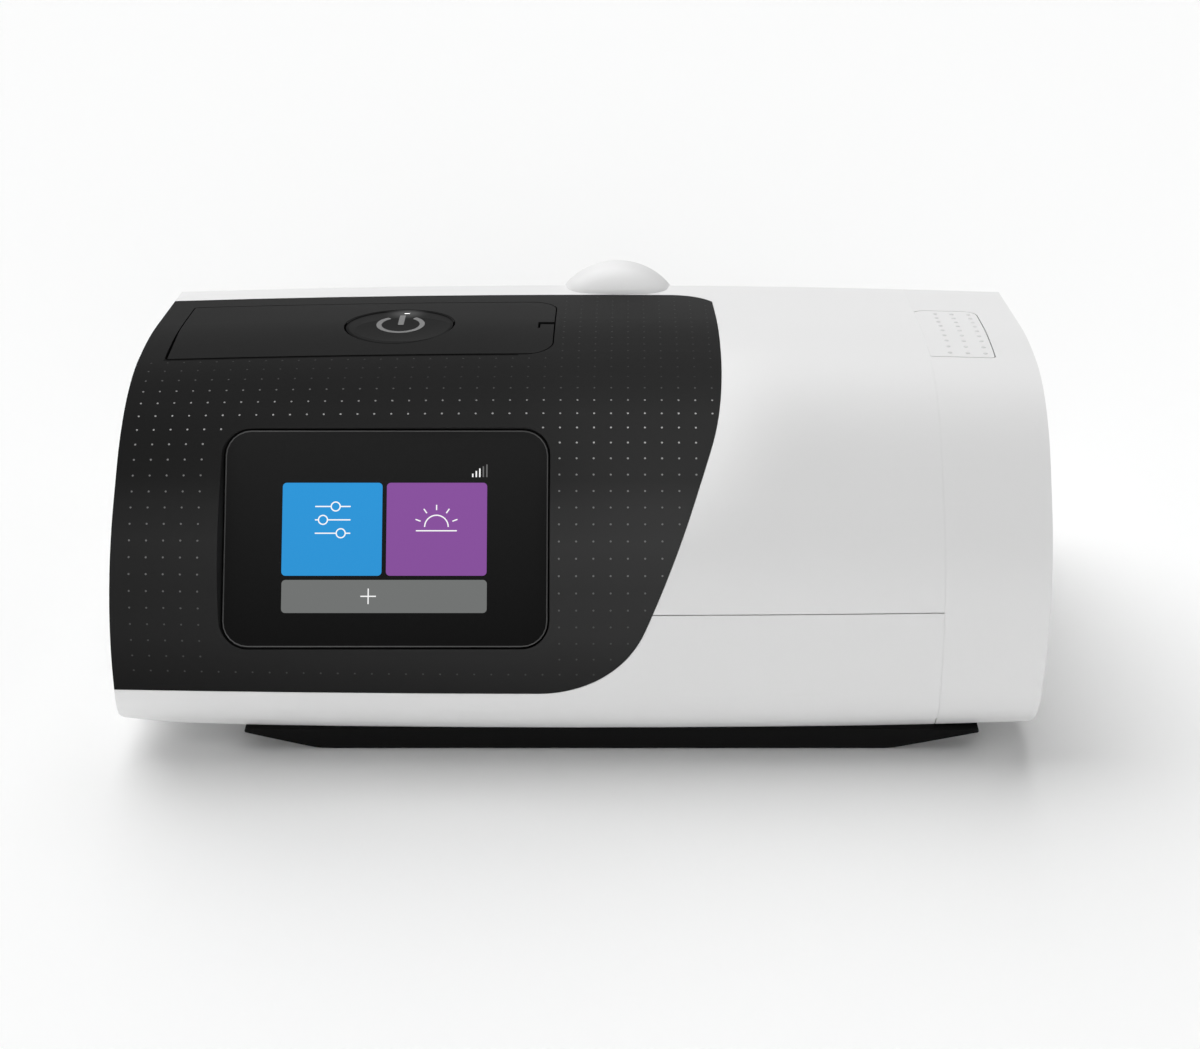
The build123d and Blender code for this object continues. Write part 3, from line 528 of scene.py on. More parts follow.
@dataclass(frozen=True)
class SilverInk(Recipe):
    """Printed silver dots with painted glints: their colour brightens and darkens up the front where their facets
    would catch or miss the light.

    Attributes:
        stops: (height, level) pairs from low to high, the painted glint at each height.
        brow: depth behind which the last level holds.
    """

    stops: Stops
    brow: float = 5.0
    roughness: float = 0.45
    gloss_drift: float = 0.05
    speck_m: float = 0.0004
    specular: float = 0.06

    def feed(self, graph: Graph) -> None:
        """Feeds the shader.

        Args:
            graph: the material's graph.
        """
        low, high = self.stops[0][0], self.stops[-1][0]
        behind = graph.axis("Y") > self.brow * MM
        stops = [((height - low) / (high - low), level) for height, level in self.stops]
        # Painted glints: the level follows the height, and holds behind the brow.
        tone = graph.ramp(graph.along("Z", low, high) + behind, stops)
        speck = graph.noise(self.speck_m, detail=1.0)
        graph.set(Base_Color=tone, Roughness=speck.about(self.roughness, self.gloss_drift),
                  Specular_IOR_Level=self.specular)


class Finish(Enum):
    """Every finish of the machine."""

    SHELL = Moulding("pale_shell", even(0.75), 0.45, 0.0005, 0.00001, 0.008, 0.03, 0.25)
    # Painted shade along the cover's front joint, on the fascia and on the cover.
    FASCIA = Charcoal("charcoal_fascia", PaintedSeamShade(-120.0, -18.5, -4.75, -3.6))
    DOOR = Charcoal("charcoal_cover", PaintedSeamShade(-130.0, 0.0, -6.0, -3.35))
    WELL = Moulding("dark_well", even(0.004), 0.6, 0.0005, 0.00001, 0.05, 0.05, 0.05)
    BUTTON = DishedButton("charcoal_button")
    PLINTH = Moulding("black_plinth", even(0.002), 0.6, 0.0006, 0.00002, 0.1, 0.05, 0.08)
    RUBBER = Moulding("black_rubber", even(0.012), 0.75, 0.0009, 0.00004, 0.1, 0.05, 0.3)
    INNER_GREY = Moulding("grey_inner_moulding", (0.16, 0.165, 0.175), 0.5, 0.0008, 0.00002, 0.05)
    INNER_PALE = Moulding("pale_inner_moulding", even(0.6), 0.45, 0.0006, 0.00002, 0.03)
    CARD = Moulding("card_plastic", (0.02, 0.04, 0.13), 0.4, 0.0005, 0.00001, 0.04)
    # The glass's paler top is a painted reflection.
    GLASS = PolishedPanel("polished_screen", even(0.004), even(0.016))
    # A painted highlight along the glass's edge.
    RIM = Moulding("painted_rim_highlight", even(0.075), 0.25, 0.0006, 0.000004, 0.05, 0.05, 0.2)
    DISPLAY = PolishedPanel("dark_display_back", (0.01, 0.01, 0.011), (0.012, 0.012, 0.013), roughness=0.2)
    STEEL = Metal("plain_steel", (0.5, 0.5, 0.51))
    COPPER = Metal("copper_winding", (0.6, 0.28, 0.12), 0.35, (1, 1, 20))
    BRASS = Metal("contact_brass", (0.7, 0.52, 0.22), 0.25)
    ALUMINIUM = Metal("heater_aluminium", (0.7, 0.7, 0.71), 0.35, (1, 40, 1))
    CLEAR = ClearMoulding("clear_tub", (0.82, 0.88, 0.92))
    BOARD = CircuitBoard("circuit_board")
    FOAM = PorousMedium("inlet_foam", (0.06, 0.06, 0.062))
    FELT = PorousMedium("filter_felt", (0.75, 0.76, 0.78), 0.0008, 0.0003)
    LAMP = LitInk("lit_lamp", even(1.0), 2.4)
    BLUE = LitInk("lit_blue", (0.018, 0.278, 0.640))
    PURPLE = LitInk("lit_purple", (0.225, 0.070, 0.312))
    GREY = LitInk("lit_grey", (0.155, 0.161, 0.158))
    WHITE = LitInk("lit_white", even(0.92))
    DIM = LitInk("lit_dim_grey", even(0.13))
    SYMBOL = Moulding("printed_symbol", even(0.125), 0.45, 0.0005, 0.000008, 0.03, specular=0.15)
    # Painted glints: the dots' levels by height.
    DOTS = SilverInk("silver_dots", ((25.0, 0.045), (40.0, 0.065), (48.0, 0.1), (56.0, 0.17), (72.0, 0.17),
                                     (79.0, 0.24), (84.0, 0.41), (88.0, 0.41), (90.3, 0.27), (91.8, 0.075),
                                     (93.0, 0.018)))
    PAD_DOTS = Moulding("pad_dots", even(0.66), 0.45, 0.0005, 0.00001, 0.02, specular=0.25)

    def material(self) -> bpy.types.Material:
        """The finish's material, made once."""
        return bpy.data.materials.get(self.value.name) or self.value.build()


FINISHED_NODES: dict[Finish, str] = {
    Finish.PLINTH: "base_plinth power_socket",
    Finish.RUBBER: "rubber_feet screen_gasket blower_mount bay_port_seals tub_seal outlet_seal",
    Finish.SHELL: "lower_casing upper_casing filter_cover tub_end_cap tub_release_pad",
    Finish.FASCIA: "front_fascia",
    Finish.GLASS: "screen_glass",
    Finish.DISPLAY: "display_panel",
    Finish.WELL: "card_well",
    Finish.DOOR: "card_door",
    Finish.STEEL: "hinge_pin radio_module card_socket rotor_shaft motor_bearings motor_can filter_hinge_pin "
                  "tub_heat_plate casing_screws board_screws",
    Finish.BUTTON: "power_button",
    Finish.LAMP: "status_light_pipe",
    Finish.BOARD: "button_switch main_board",
    Finish.CARD: "memory_card",
    Finish.INNER_GREY: "blower_lower blower_upper blower_duct outlet_duct bay_liner",
    Finish.INNER_PALE: "impeller outlet_spigot",
    Finish.COPPER: "motor_stator",
    Finish.FOAM: "inlet_foam",
    Finish.FELT: "air_filter",
    Finish.BRASS: "socket_contacts",
    Finish.ALUMINIUM: "heater_plate",
    Finish.CLEAR: "tub_base tub_lid",
}
NODE_FINISH = {name: finish for finish, names in FINISHED_NODES.items() for name in names.split()}


def dress(nodes: Mapping[str, Object]) -> None:
    """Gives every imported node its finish.

    Args:
        nodes: node name to object.
    """
    for name, obj in nodes.items():
        material = NODE_FINISH[name].material()
        if not obj.material_slots:
            obj.data.materials.append(material)
        for held in obj.material_slots:
            held.link = "OBJECT"
            held.material = material


# ---- Pieces and shapes ----
def stand(name: str, data: bpy.types.ID, place: Sequence[float] = (0.0, 0.0, 0.0),
          towards: Vector | None = None) -> Object:
    """Puts an object into the scene.

    Args:
        name: its name.
        data: its mesh, light or camera.
        place: where it stands, in metres.
        towards: where a lamp points.

    Returns:
        The object.
    """
    made = bpy.data.objects.new(name, data)
    made.location = place
    if towards is not None:
        made.rotation_euler = towards.to_track_quat("-Z", "Y").to_euler()
    bpy.context.scene.collection.objects.link(made)
    return made


def finish_piece(name: str, mesh: BMesh, finish: Finish, body: str) -> None:
    """Turns a bmesh in row-frame metres into a piece that rides on a body.

    Args:
        name: the piece's name.
        mesh: its mesh, which is freed.
        finish: its finish.
        body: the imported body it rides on.
    """
    bmesh.ops.remove_doubles(mesh, verts=mesh.verts, dist=1e-7)
    bmesh.ops.recalc_face_normals(mesh, faces=mesh.faces)
    data = bpy.data.meshes.new(name)
    mesh.to_mesh(data)
    mesh.free()
    data.materials.append(finish.material())
    piece = stand(name, data)
    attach(piece, body)
    LOG.info("%s: %d faces on %s", name, len(data.polygons), body)


def add_shape(mesh: BMesh, shape: BMesh, place: Matrix) -> None:
    """Moves a finished shape into place and joins it to a larger mesh.

    Args:
        mesh: the mesh to add to.
        shape: the shape in its own millimetres, which is freed.
        place: matrix from the shape's millimetres to row-frame metres.
    """
    bmesh.ops.transform(shape, matrix=place, verts=shape.verts)
    carrier = bpy.data.meshes.new("carrier")
    shape.to_mesh(carrier)
    shape.free()
    mesh.from_mesh(carrier)
    bpy.data.meshes.remove(carrier)


def thicken(mesh: BMesh, thick: float) -> None:
    """Gives a flat sheet its thickness along Z.

    Args:
        mesh: the sheet.
        thick: the thickness.
    """
    grown = bmesh.ops.extrude_face_region(mesh, geom=list(mesh.faces), use_keep_orig=True)
    moved = [item for item in grown["geom"] if isinstance(item, bmesh.types.BMVert)]
    bmesh.ops.translate(mesh, verts=moved, vec=Vector((0.0, 0.0, thick)))


def plate(mesh: BMesh, place: Matrix, width: float, height: float, radius: float, thick: float) -> None:
    """Adds a rounded rectangular plate in millimetres.

    Args:
        mesh: the bmesh to add to.
        place: matrix from plate millimetres to row-frame metres; the plate lies in XY and rises along Z.
        width: size along X.
        height: size along Y.
        radius: corner radius.
        thick: size along Z.
    """
    shape = bmesh.new()
    outline = Matrix.Diagonal((width, height, 1.0, 1.0))
    bmesh.ops.create_grid(shape, x_segments=1, y_segments=1, size=0.5, matrix=outline)
    bmesh.ops.bevel(shape, geom=shape.verts[:], offset=radius, offset_type="OFFSET", segments=6, profile=0.5,
                    affect="VERTICES", material=-1)
    thicken(shape, thick)
    add_shape(mesh, shape, place)


def hoop(mesh: BMesh, place: Matrix, radius: float, stroke: float, thick: float,
         start: float = 0.0, sweep: float = 360.0, steps: int = 32) -> None:
    """Adds a flat ring or arc of the given middle radius and stroke, spun from one small section.

    Args:
        mesh: the bmesh to add to.
        place: matrix from millimetres to row-frame metres; the ring's axis is Z.
        radius: middle radius.
        stroke: radial width.
        thick: height along Z.
        start: first angle in degrees.
        sweep: angle covered in degrees.
        steps: number of segments.
    """
    shape = bmesh.new()
    turn = Matrix.Rotation(math.radians(start), 4, "Z")
    upright = Matrix.Translation((radius, 0, thick / 2)) @ Matrix.Rotation(math.pi / 2, 4, "X")
    section = turn @ upright @ Matrix.Diagonal((stroke, thick, 1.0, 1.0))
    bmesh.ops.create_grid(shape, x_segments=1, y_segments=1, size=0.5, matrix=section)
    whole = sweep >= 360.0
    if whole:
        bmesh.ops.delete(shape, geom=list(shape.faces), context="FACES_ONLY")
    geometry = [*shape.verts, *shape.edges, *shape.faces]
    bmesh.ops.spin(shape, geom=geometry, cent=(0, 0, 0), axis=(0, 0, 1), angle=math.radians(sweep),
                   steps=steps, use_merge=whole)
    add_shape(mesh, shape, place)


# ---- Lit display ----
@dataclass
class LitDisplay:
    """The tiles and icons that the touch screen shows, lying on the glass.

    Attributes:
        tile_sides: name, finish, left, right, bottom and top of each tile.
        sun: middle and radius of the sun.
        horizon: drop of the level line under the sun's middle, and its length.
        ray: distance of a ray from the sun's middle, and its length.
        rim_size: width, height and corner radius of the painted highlight along the glass's edge.
    """

    centre: Triple = (-53.75, -50.1, 60.5)
    lean: float = 35.7
    lift: float = 0.02
    icon_lift: float = 0.04
    stroke: float = 0.34
    tile_radius: float = 1.1
    tile_sides: tuple[tuple[str, Finish, float, float, float, float], ...] = (
        ("left", Finish.BLUE, -28.6, -1.1, -10.35, 15.4), ("right", Finish.PURPLE, 0.1, 27.75, -10.35, 15.4),
        ("bottom", Finish.GREY, -28.5, 27.85, -20.6, -11.5))
    slider_span: Pair = (-19.6, -9.8)
    slider_knobs: tuple[Pair, ...] = ((-13.94, 8.81), (-17.39, 5.10), (-12.46, 1.39))
    knob_radius: float = 1.24
    sun: Triple = (13.86, 3.13, 3.25)
    horizon: Pair = (1.05, 11.3)
    ray: Pair = (5.4, 1.5)
    ray_angles: tuple[float, ...] = (20.0, 55.0, 90.0, 125.0, 160.0)
    plus_centre: Pair = (-4.66, -16.02)
    plus_size: float = 4.3
    signal_foot: Pair = (23.75, 16.97)
    signal_pitch: float = 0.97
    signal_width: float = 0.38
    signal_tops: tuple[float, ...] = (17.94, 18.69, 19.38, 19.99, 20.50)
    rim_size: Triple = (89.0, 59.9, 7.0)
    rim_width: float = 0.32
    rim_deep: float = 0.3
    rim_lift: float = 0.005

    def place(self, across: float, up: float, lift: float = 0.0) -> Matrix:
        """Matrix from millimetres about a point of the glass to row-frame metres."""
        lean = Matrix.Rotation(math.radians(90.0 - self.lean), 4, "X") @ Matrix.Scale(MM, 4)
        return Matrix.Translation(Vector(self.centre) * MM) @ lean @ Matrix.Translation((across, up, lift))

    def bar(self, mesh: BMesh, across: float, up: float, length: float, angle: float = 0.0) -> None:
        """One straight stroke centred on a point of the glass."""
        place = self.place(across, up) @ Matrix.Rotation(math.radians(angle), 4, "Z")
        plate(mesh, place, length, self.stroke, self.stroke * 0.3, self.icon_lift)

    def sliders(self, mesh: BMesh) -> None:
        """Three slider lines with round knobs.

        Args:
            mesh: the bmesh to add to.
        """
        left, right = self.slider_span
        for across, up in self.slider_knobs:
            for start, end in ((left, across - self.knob_radius), (across + self.knob_radius, right)):
                self.bar(mesh, (start + end) / 2, up, end - start)
            hoop(mesh, self.place(across, up), self.knob_radius, self.stroke, self.icon_lift)

    def sunrise(self, mesh: BMesh) -> None:
        """Half sun with rays over a level line.

        Args:
            mesh: the bmesh to add to.
        """
        across, up, radius = self.sun
        drop, width = self.horizon
        reach, length = self.ray
        hoop(mesh, self.place(across, up), radius, self.stroke, self.icon_lift, 0.0, 180.0, 24)
        self.bar(mesh, across, up - drop, width)
        for angle in self.ray_angles:
            turn = math.radians(angle)
            self.bar(mesh, across + reach * math.cos(turn), up + reach * math.sin(turn), length, angle)

    def plus(self, mesh: BMesh) -> None:
        """A plus sign."""
        for angle in (0.0, 90.0):
            self.bar(mesh, *self.plus_centre, self.plus_size, angle)

    def signal_bars(self, mesh: BMesh, steps: Sequence[int]) -> None:
        """Upright bars of rising height.

        Args:
            mesh: the bmesh to add to.
            steps: which of the bars are drawn.
        """
        left, foot = self.signal_foot
        for step in steps:
            height = self.signal_tops[step] - foot
            place = self.place(left + self.signal_pitch * step, foot + height / 2)
            plate(mesh, place, self.signal_width, height, 0.05, self.icon_lift)

    def rim(self) -> None:
        """Painted highlight: a pale line along the glass's rounded edge, cut from a plate by an inset."""
        mesh = bmesh.new()
        width, height, radius = self.rim_size
        plate(mesh, Matrix.Identity(4), width, height, radius, -self.rim_deep)
        caps = [face for face in mesh.faces if abs(face.normal.z) > 0.9 and len(face.verts) > 4]
        bmesh.ops.inset_individual(mesh, faces=caps, thickness=self.rim_width)
        bmesh.ops.delete(mesh, geom=caps, context="FACES_ONLY")
        bmesh.ops.transform(mesh, matrix=self.place(0.0, 0.0, self.rim_lift), verts=mesh.verts)
        finish_piece("screen_rim_highlight", mesh, Finish.RIM, "housing")

    def build(self) -> None:
        """Makes the painted rim highlight, tiles and icons."""
        self.rim()
        for name, finish, left, right, bottom, top in self.tile_sides:
            mesh = bmesh.new()
            place = self.place((left + right) / 2, (bottom + top) / 2)
            plate(mesh, place, right - left, top - bottom, self.tile_radius, self.lift)
            finish_piece(f"display_tile_{name}", mesh, finish, "housing")
        icons = (("sliders", Finish.WHITE, self.sliders), ("sunrise", Finish.WHITE, self.sunrise),
                 ("plus", Finish.WHITE, self.plus),
                 ("signal", Finish.WHITE, lambda mesh: self.signal_bars(mesh, (0, 1, 2))),
                 ("signal_weak", Finish.DIM, lambda mesh: self.signal_bars(mesh, (3, 4))))
        for name, finish, draw in icons:
            mesh = bmesh.new()
            draw(mesh)
            finish_piece(f"display_{name}", mesh, finish, "housing")


# ---- Surface seeking ----
class Surface:
    """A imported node's outer surface, found by rays."""

    def __init__(self, obj: Object) -> None:
        """Reads the node's mesh.

        Args:
            obj: the node's object.
        """
        mesh = bmesh.new()
        mesh.from_mesh(obj.data)
        self.tree = BVHTree.FromBMesh(mesh)
        mesh.free()

    def seek(self, start: Vector, towards: Vector) -> Hit | None:
        """First hit from a point along a direction, in metres.

        Args:
            start: where the ray starts.
            towards: its direction.

        Returns:
            The point and the surface normal there, or None.
        """
        point, normal, _, _ = self.tree.ray_cast(start, towards.normalized())
        if point is None:
            return None
        return point, (-normal if normal.dot(towards) > 0 else normal)

    def inward(self, centre: Vector, out: Vector) -> Hit | None:
        """First hit on the way in to a centre from outside."""
        return self.seek(centre + out * RAY_START_M, -out)

    def below(self, across_m: float, depth_m: float) -> Hit | None:
        """First hit straight below a place."""
        return self.seek(Vector((across_m, depth_m, OVERHEAD_M)), Vector((0, 0, -1)))


def outward(angle: float) -> Vector:
    """Direction out of the machine's long axis: 90 degrees points up and 180 to the front."""
    return Vector((0.0, math.cos(math.radians(angle)), math.sin(math.radians(angle))))


def add_dot(mesh: BMesh, hit: Hit, radius: float, height: float, sides: int = 8) -> None:
    """Adds one low domed dot on a surface.

    Args:
        mesh: the bmesh to add to.
        hit: where it sits, and the surface normal.
        radius: its radius in millimetres.
        height: its height in millimetres.
        sides: corners of its rim.
    """
    point, normal = hit
    turn = normal.to_track_quat("Z", "Y").to_matrix().to_4x4()
    place = Matrix.Translation(point + normal * (height * MM * DOT_RISE)) @ turn
    bmesh.ops.create_cone(mesh, cap_ends=True, segments=sides, radius1=radius * MM, radius2=radius * DOT_TAPER * MM,
                          depth=height * MM, matrix=place)


# ---- Trim and print ----
@dataclass
class SeamLip:
    """Pale lip on the tub's end cap that closes its joint with the fixed casing from behind.

    Attributes:
        gauge: point of the axis that the measuring rays aim at.
        first: first angle, from the rear over the top to the front.
    """

    casings: Sequence[Object]
    left: float = 99.13
    right: float = 99.42
    sunk: float = 0.1
    thick: float = 0.9
    gauge: Triple = (98.7, 0.0, 45.0)
    first: float = -28.0
    last: float = 208.0
    steps: int = 160

    def build(self) -> None:
        """Makes the lip as one bent strip."""
        surfaces = [Surface(casing) for casing in self.casings]
        middle = Vector(self.gauge) * MM
        mesh = bmesh.new()
        bmesh.ops.create_grid(mesh, x_segments=1, y_segments=self.steps, size=0.5,
                              matrix=Matrix.Translation((0.5, 0.5, 0.0)))
        thicken(mesh, 1.0)
        for vert in mesh.verts:
            across = self.left + (self.right - self.left) * vert.co.x
            deep = self.sunk + self.thick * vert.co.z
            out = outward(self.first + (self.last - self.first) * vert.co.y)
            hits = [hit for hit in (surface.inward(middle, out) for surface in surfaces) if hit]
            far = max((hit[0] - middle).dot(out) for hit in hits) - deep * MM
            vert.co = middle + out * far + Vector((across - self.gauge[0], 0.0, 0.0)) * MM
        finish_piece("seam_lip", mesh, Finish.SHELL, "tub")


@dataclass
class FasciaDots:
    """Rows of silver dots over the dark fascia, evenly spaced along its curve.

    Attributes:
        gauge_x: place of the column on which the rows are measured.
        gauge_angles: first angle, step and number of steps of that measuring.
        first_s: distance of the first row from the foot of the fascia, along the surface.
        swing: distance from the axis at which the margin is turned into an angle.
        screen: left, right, lower and upper limit of the area kept clear for the screen.
        screen_corner: height above which that area is narrower, and by how much.
        cover: right and front limit of the area kept clear for the cover.
    """

    fascia: Object
    pitch_x: float = 4.69
    pitch_s: float = 4.72
    first_x: float = -123.2
    columns: int = 36
    axis: Pair = (10.0, 38.0)
    gauge_x: float = 2.0
    gauge_angles: tuple[float, float, int] = (195.0, 0.15, 1000)
    first_s: float = 3.75
    margin: float = 1.6
    swing: float = 60.0
    screen: tuple[float, float, float, float] = (-100.6, -7.4, 30.0, 86.6)
    screen_corner: Pair = (84.6, 4.0)
    cover: Pair = (-7.0, -5.5)
    radius: float = 0.3
    height: float = 0.05

    def strike(self, surface: Surface, across: float, angle: float) -> Hit | None:
        """The fascia's outer surface at a place and an angle round the axis, or None where it ends."""
        return surface.inward(Vector((across, *self.axis)) * MM, outward(angle))

    def row_angles(self, surface: Surface) -> list[float]:
        """Measures where the rows lie along the gauge column.

        Args:
            surface: the fascia's surface.

        Returns:
            The rows' angles.
        """
        first, width, steps = self.gauge_angles
        angles: list[float] = []
        travelled, wanted = 0.0, self.first_s
        before: Vector | None = None
        for step in range(steps):
            angle = first - step * width
            hit = self.strike(surface, self.gauge_x, angle)
            if hit is None:
                continue
            gone = 0.0 if before is None else (hit[0] - before).length / MM
            if travelled + gone >= wanted:
                angles.append(angle + width * (travelled + gone - wanted) / gone)
                wanted += self.pitch_s
            travelled += gone
            before = hit[0]
        return angles

    def allowed(self, surface: Surface, across: float, angle: float, point: Vector) -> bool:
        """Whether a dot may stand here: clear of the screen, the cover and the edges.

        Args:
            surface: the fascia's surface.
            across: the dot's place along the machine.
            angle: its angle round the axis.
            point: its place on the surface.

        Returns:
            True where it may.
        """
        depth, up = point.y / MM, point.z / MM
        left, right, low, high = self.screen
        corner, inset = self.screen_corner
        beside = 0.0 if up < corner else inset
        on_screen = left + beside < across < right - beside and low < up < high
        on_cover = depth > self.cover[1] and across < self.cover[0]
        if on_screen or on_cover:
            return False
        turn = math.degrees(self.margin / self.swing)
        return all(self.strike(surface, across + dx, angle + da) is not None
                   for dx, da in ((self.margin, 0.0), (-self.margin, 0.0), (0.0, turn), (0.0, -turn)))

    def build(self) -> None:
        """Makes all the dots as one piece."""
        surface = Surface(self.fascia)
        mesh = bmesh.new()
        angles = self.row_angles(surface)
        for column in range(self.columns):
            across = self.first_x + column * self.pitch_x
            for angle in angles:
                hit = self.strike(surface, across, angle)
                if hit is not None and self.allowed(surface, across, angle, hit[0]):
                    add_dot(mesh, hit, self.radius, self.height)
        finish_piece("fascia_dots", mesh, Finish.DOTS, "housing")


@dataclass
class PadDots:
    """Three rows of grip dots on the release pad."""

    pad: Object
    columns: tuple[float, ...] = (105.4, 110.5, 115.6)
    pitch_y: float = 4.4
    rows: int = 9
    lowest: float = 80.0
    radius: float = 0.75
    height: float = 0.22
    sides: int = 12

    def build(self) -> None:
        """Makes the dots as one piece."""
        surface = Surface(self.pad)
        mesh = bmesh.new()
        for across in self.columns:
            for row in range(self.rows):
                hit = surface.below(across * MM, row * self.pitch_y * MM)
                if hit is not None and hit[0].z > self.lowest * MM:
                    add_dot(mesh, hit, self.radius, self.height, self.sides)
        finish_piece("release_pad_dots", mesh, Finish.PAD_DOTS, "release_pad")


@dataclass
class ButtonSymbol:
    """The standby symbol printed in the power button's dish, and the soft seal behind the button.

    Attributes:
        gap: degrees left open for the bar.
        bar: width, length and foot of the bar.
        bend: length above which an edge is cut up, to follow the dish.
        seal_slide: how far outwards the cover's height is measured.
    """

    button: Object
    cover: Object
    centre: Pair = (-54.7, 22.8)
    radius: float = 6.4
    stroke: float = 1.5
    thick: float = 0.06
    sunk: float = 0.01
    gap: float = 70.0
    bar: Triple = (1.7, 8.2, 0.1)
    bar_radius: float = 0.3
    bend: float = 1.5
    seat: Pair = (-54.7, 20.2)
    seat_radius: float = 16.02
    seal: Pair = (0.4, 0.5)
    seal_sunk: float = 0.04
    seal_slide: float = 0.7
    seal_arc: Pair = (8.0, 164.0)

    @staticmethod
    def lay(mesh: BMesh, surface: Surface, centre: Pair, sunk: float,
            slide: float = 0.0) -> None:
        """Drops a flat figure onto a surface from above.

        Args:
            mesh: the figure, in metres about its own middle.
            surface: the surface below.
            centre: where its middle goes.
            sunk: how far below the surface it ends.
            slide: how far outwards from the middle the surface is measured.
        """
        middle = Vector((*centre, 0.0)) * MM
        for vert in mesh.verts:
            place = Vector((vert.co.x, vert.co.y, 0.0))
            probe = middle + place + place.normalized() * slide * MM
            hit = surface.below(probe.x, probe.y)
            vert.co += middle + Vector((0.0, 0.0, hit[0].z - sunk * MM))

    def build(self) -> None:
        """Makes the open ring and its bar, laid onto the dish, and the seal."""
        flat = Matrix.Scale(MM, 4)
        mesh = bmesh.new()
        hoop(mesh, flat, self.radius, self.stroke, self.thick, 90.0 + self.gap / 2, 360.0 - self.gap, 48)
        width, length, foot = self.bar
        upright = flat @ Matrix.Translation((0.0, length / 2 + foot, 0.0))
        plate(mesh, upright, width, length, self.bar_radius, self.thick)
        bmesh.ops.subdivide_edges(mesh, edges=[e for e in mesh.edges if e.calc_length() > self.bend * MM], cuts=3)
        self.lay(mesh, Surface(self.button), self.centre, self.sunk)
        finish_piece("button_symbol", mesh, Finish.SYMBOL, "power_button")
        mesh = bmesh.new()
        width, depth = self.seal
        hoop(mesh, flat, self.seat_radius, width, -depth, *self.seal_arc, 64)
        self.lay(mesh, Surface(self.cover), self.seat, self.seal_sunk, self.seal_slide)
        finish_piece("button_seal", mesh, Finish.BUTTON, "power_button")


# ---- Studio ----
@dataclass(frozen=True)
class SoftSun:
    """Even light from one direction, with wide penumbras."""

    name: str
    towards: Triple
    spread: float
    strength: float

    def build(self) -> None:
        """Adds the light."""
        data = bpy.data.lights.new(self.name, "SUN")
        data.angle = math.radians(self.spread)
        data.energy = self.strength
        stand(self.name, data, (0.0, 0.0, 1.0), Vector(self.towards))


@dataclass(frozen=True)
class HoodSpot:
    """Narrow soft spot that lifts the hood's front out of the brow's shade."""

    place_m: Triple = (0.05, -0.441, 0.15)
    target_m: Triple = (0.0125, 0.0533, 0.088)
    cone: float = 4.6
    power: float = 14.0
    radius_m: float = 0.03

    def build(self) -> None:
        """Adds the light."""
        data = bpy.data.lights.new("hood_spot", "SPOT")
        data.energy = self.power
        data.spot_size = math.radians(self.cone)
        data.spot_blend = 1.0
        data.shadow_soft_size = self.radius_m
        stand("hood_spot", data, self.place_m, Vector(self.target_m) - Vector(self.place_m))


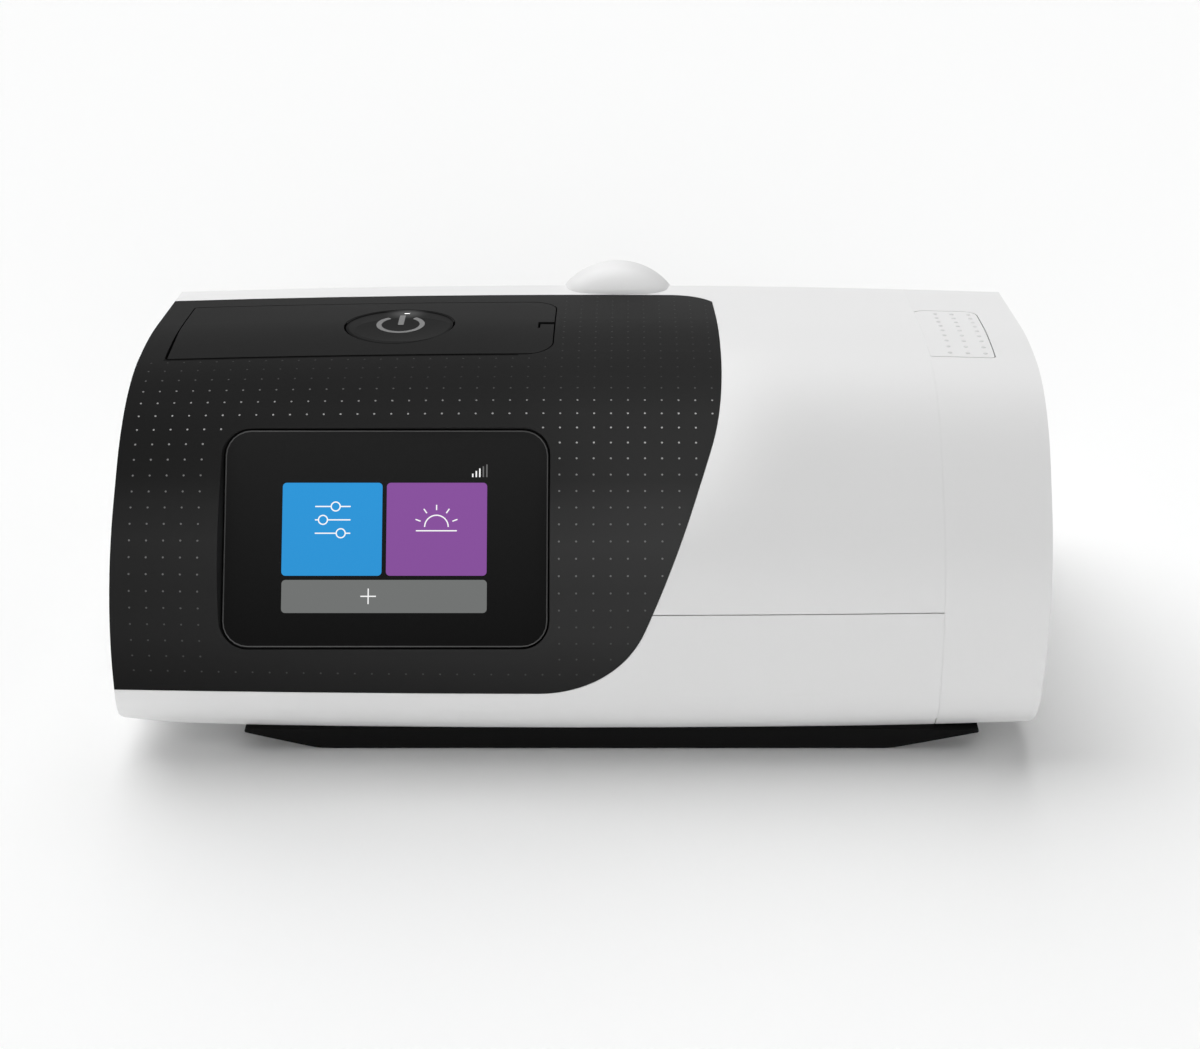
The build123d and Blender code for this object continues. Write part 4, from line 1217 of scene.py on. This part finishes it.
@dataclass
class Studio:
    """White floor, white surroundings, soft lights and the camera."""

    ambient: float = 0.17
    floor_radius_m: float = 12.0
    floor_tones: tuple[Colour, Colour] = ((0.985, 0.987, 0.986), (0.99, 0.992, 0.991))
    camera_place_m: Triple = (0.01338, -0.5817, 0.3595)
    camera_pitch: float = 29.0
    camera_shift: float = -0.025
    lens_mm: float = 66.53
    lights: tuple[SoftSun | HoodSpot, ...] = (
        SoftSun("key_behind_left", (0.34, -0.68, -1.0), 66.0, 2.84),
        SoftSun("low_front_fill", (-0.06, 1.0, -0.08), 50.0, 2.0),
        HoodSpot(),
    )

    def world(self) -> None:
        """White surroundings of even strength, seen as plain white directly, in reflections and through glass."""
        world = bpy.data.worlds.new("studio_world")
        bpy.context.scene.world = world
        world.use_nodes = True
        tree = world.node_tree
        tree.nodes.clear()
        path = tree.nodes.new("ShaderNodeLightPath")
        choose = tree.nodes.new("ShaderNodeMixShader")
        for place, strength in ((1, self.ambient), (2, 1.0)):
            white = tree.nodes.new("ShaderNodeBackground")
            white.inputs["Color"].default_value = (1.0, 1.0, 1.0, 1.0)
            white.inputs["Strength"].default_value = strength
            tree.links.new(white.outputs[0], choose.inputs[place])
        shown = path.outputs["Is Camera Ray"]
        for kind in ("Is Glossy Ray", "Is Transmission Ray"):
            either = tree.nodes.new("ShaderNodeMath")
            either.operation = "MAXIMUM"
            tree.links.new(shown, either.inputs[0])
            tree.links.new(path.outputs[kind], either.inputs[1])
            shown = either.outputs[0]
        tree.links.new(shown, choose.inputs["Fac"])
        output = tree.nodes.new("ShaderNodeOutputWorld")
        tree.links.new(choose.outputs[0], output.inputs["Surface"])

    def floor(self) -> None:
        """Round white floor."""
        mesh = bmesh.new()
        bmesh.ops.create_circle(mesh, cap_ends=True, segments=64, radius=self.floor_radius_m)
        data = bpy.data.meshes.new("studio_floor")
        mesh.to_mesh(data)
        mesh.free()
        graph = Graph("floor_white")
        cloud = graph.noise(cell_m=0.4, detail=1.0)
        graph.set(Base_Color=graph.blend(cloud, *self.floor_tones), Roughness=0.9, Specular_IOR_Level=0.1)
        data.materials.append(graph.material)
        stand("studio_floor", data)

    def camera(self) -> None:
        """The camera, level from side to side and tipped down."""
        data = bpy.data.cameras.new("main_camera")
        data.lens = self.lens_mm
        data.sensor_width = 36.0
        data.sensor_fit = "HORIZONTAL"
        data.shift_x = self.camera_shift
        data.clip_start = 0.01
        camera = stand("main_camera", data, self.camera_place_m)
        camera.rotation_euler = (math.radians(90.0 - self.camera_pitch), 0.0, 0.0)
        bpy.context.scene.camera = camera

    def build(self) -> None:
        """Makes the whole studio."""
        bpy.context.scene.view_settings.view_transform = "Standard"
        self.world()
        self.floor()
        self.camera()
        for light in self.lights:
            light.build()


def main() -> None:
    """Loads the frame, dresses it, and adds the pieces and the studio."""
    logging.basicConfig(level=logging.INFO, format="%(name)s: %(message)s")
    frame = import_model()
    nodes = frame["nodes"]
    dress(nodes)
    LitDisplay().build()
    FasciaDots(nodes["front_fascia"]).build()
    PadDots(nodes["tub_release_pad"]).build()
    SeamLip((nodes["upper_casing"], nodes["lower_casing"])).build()
    ButtonSymbol(nodes["power_button"], nodes["card_door"]).build()
    Studio().build()


if __name__ == "__main__":
    main()
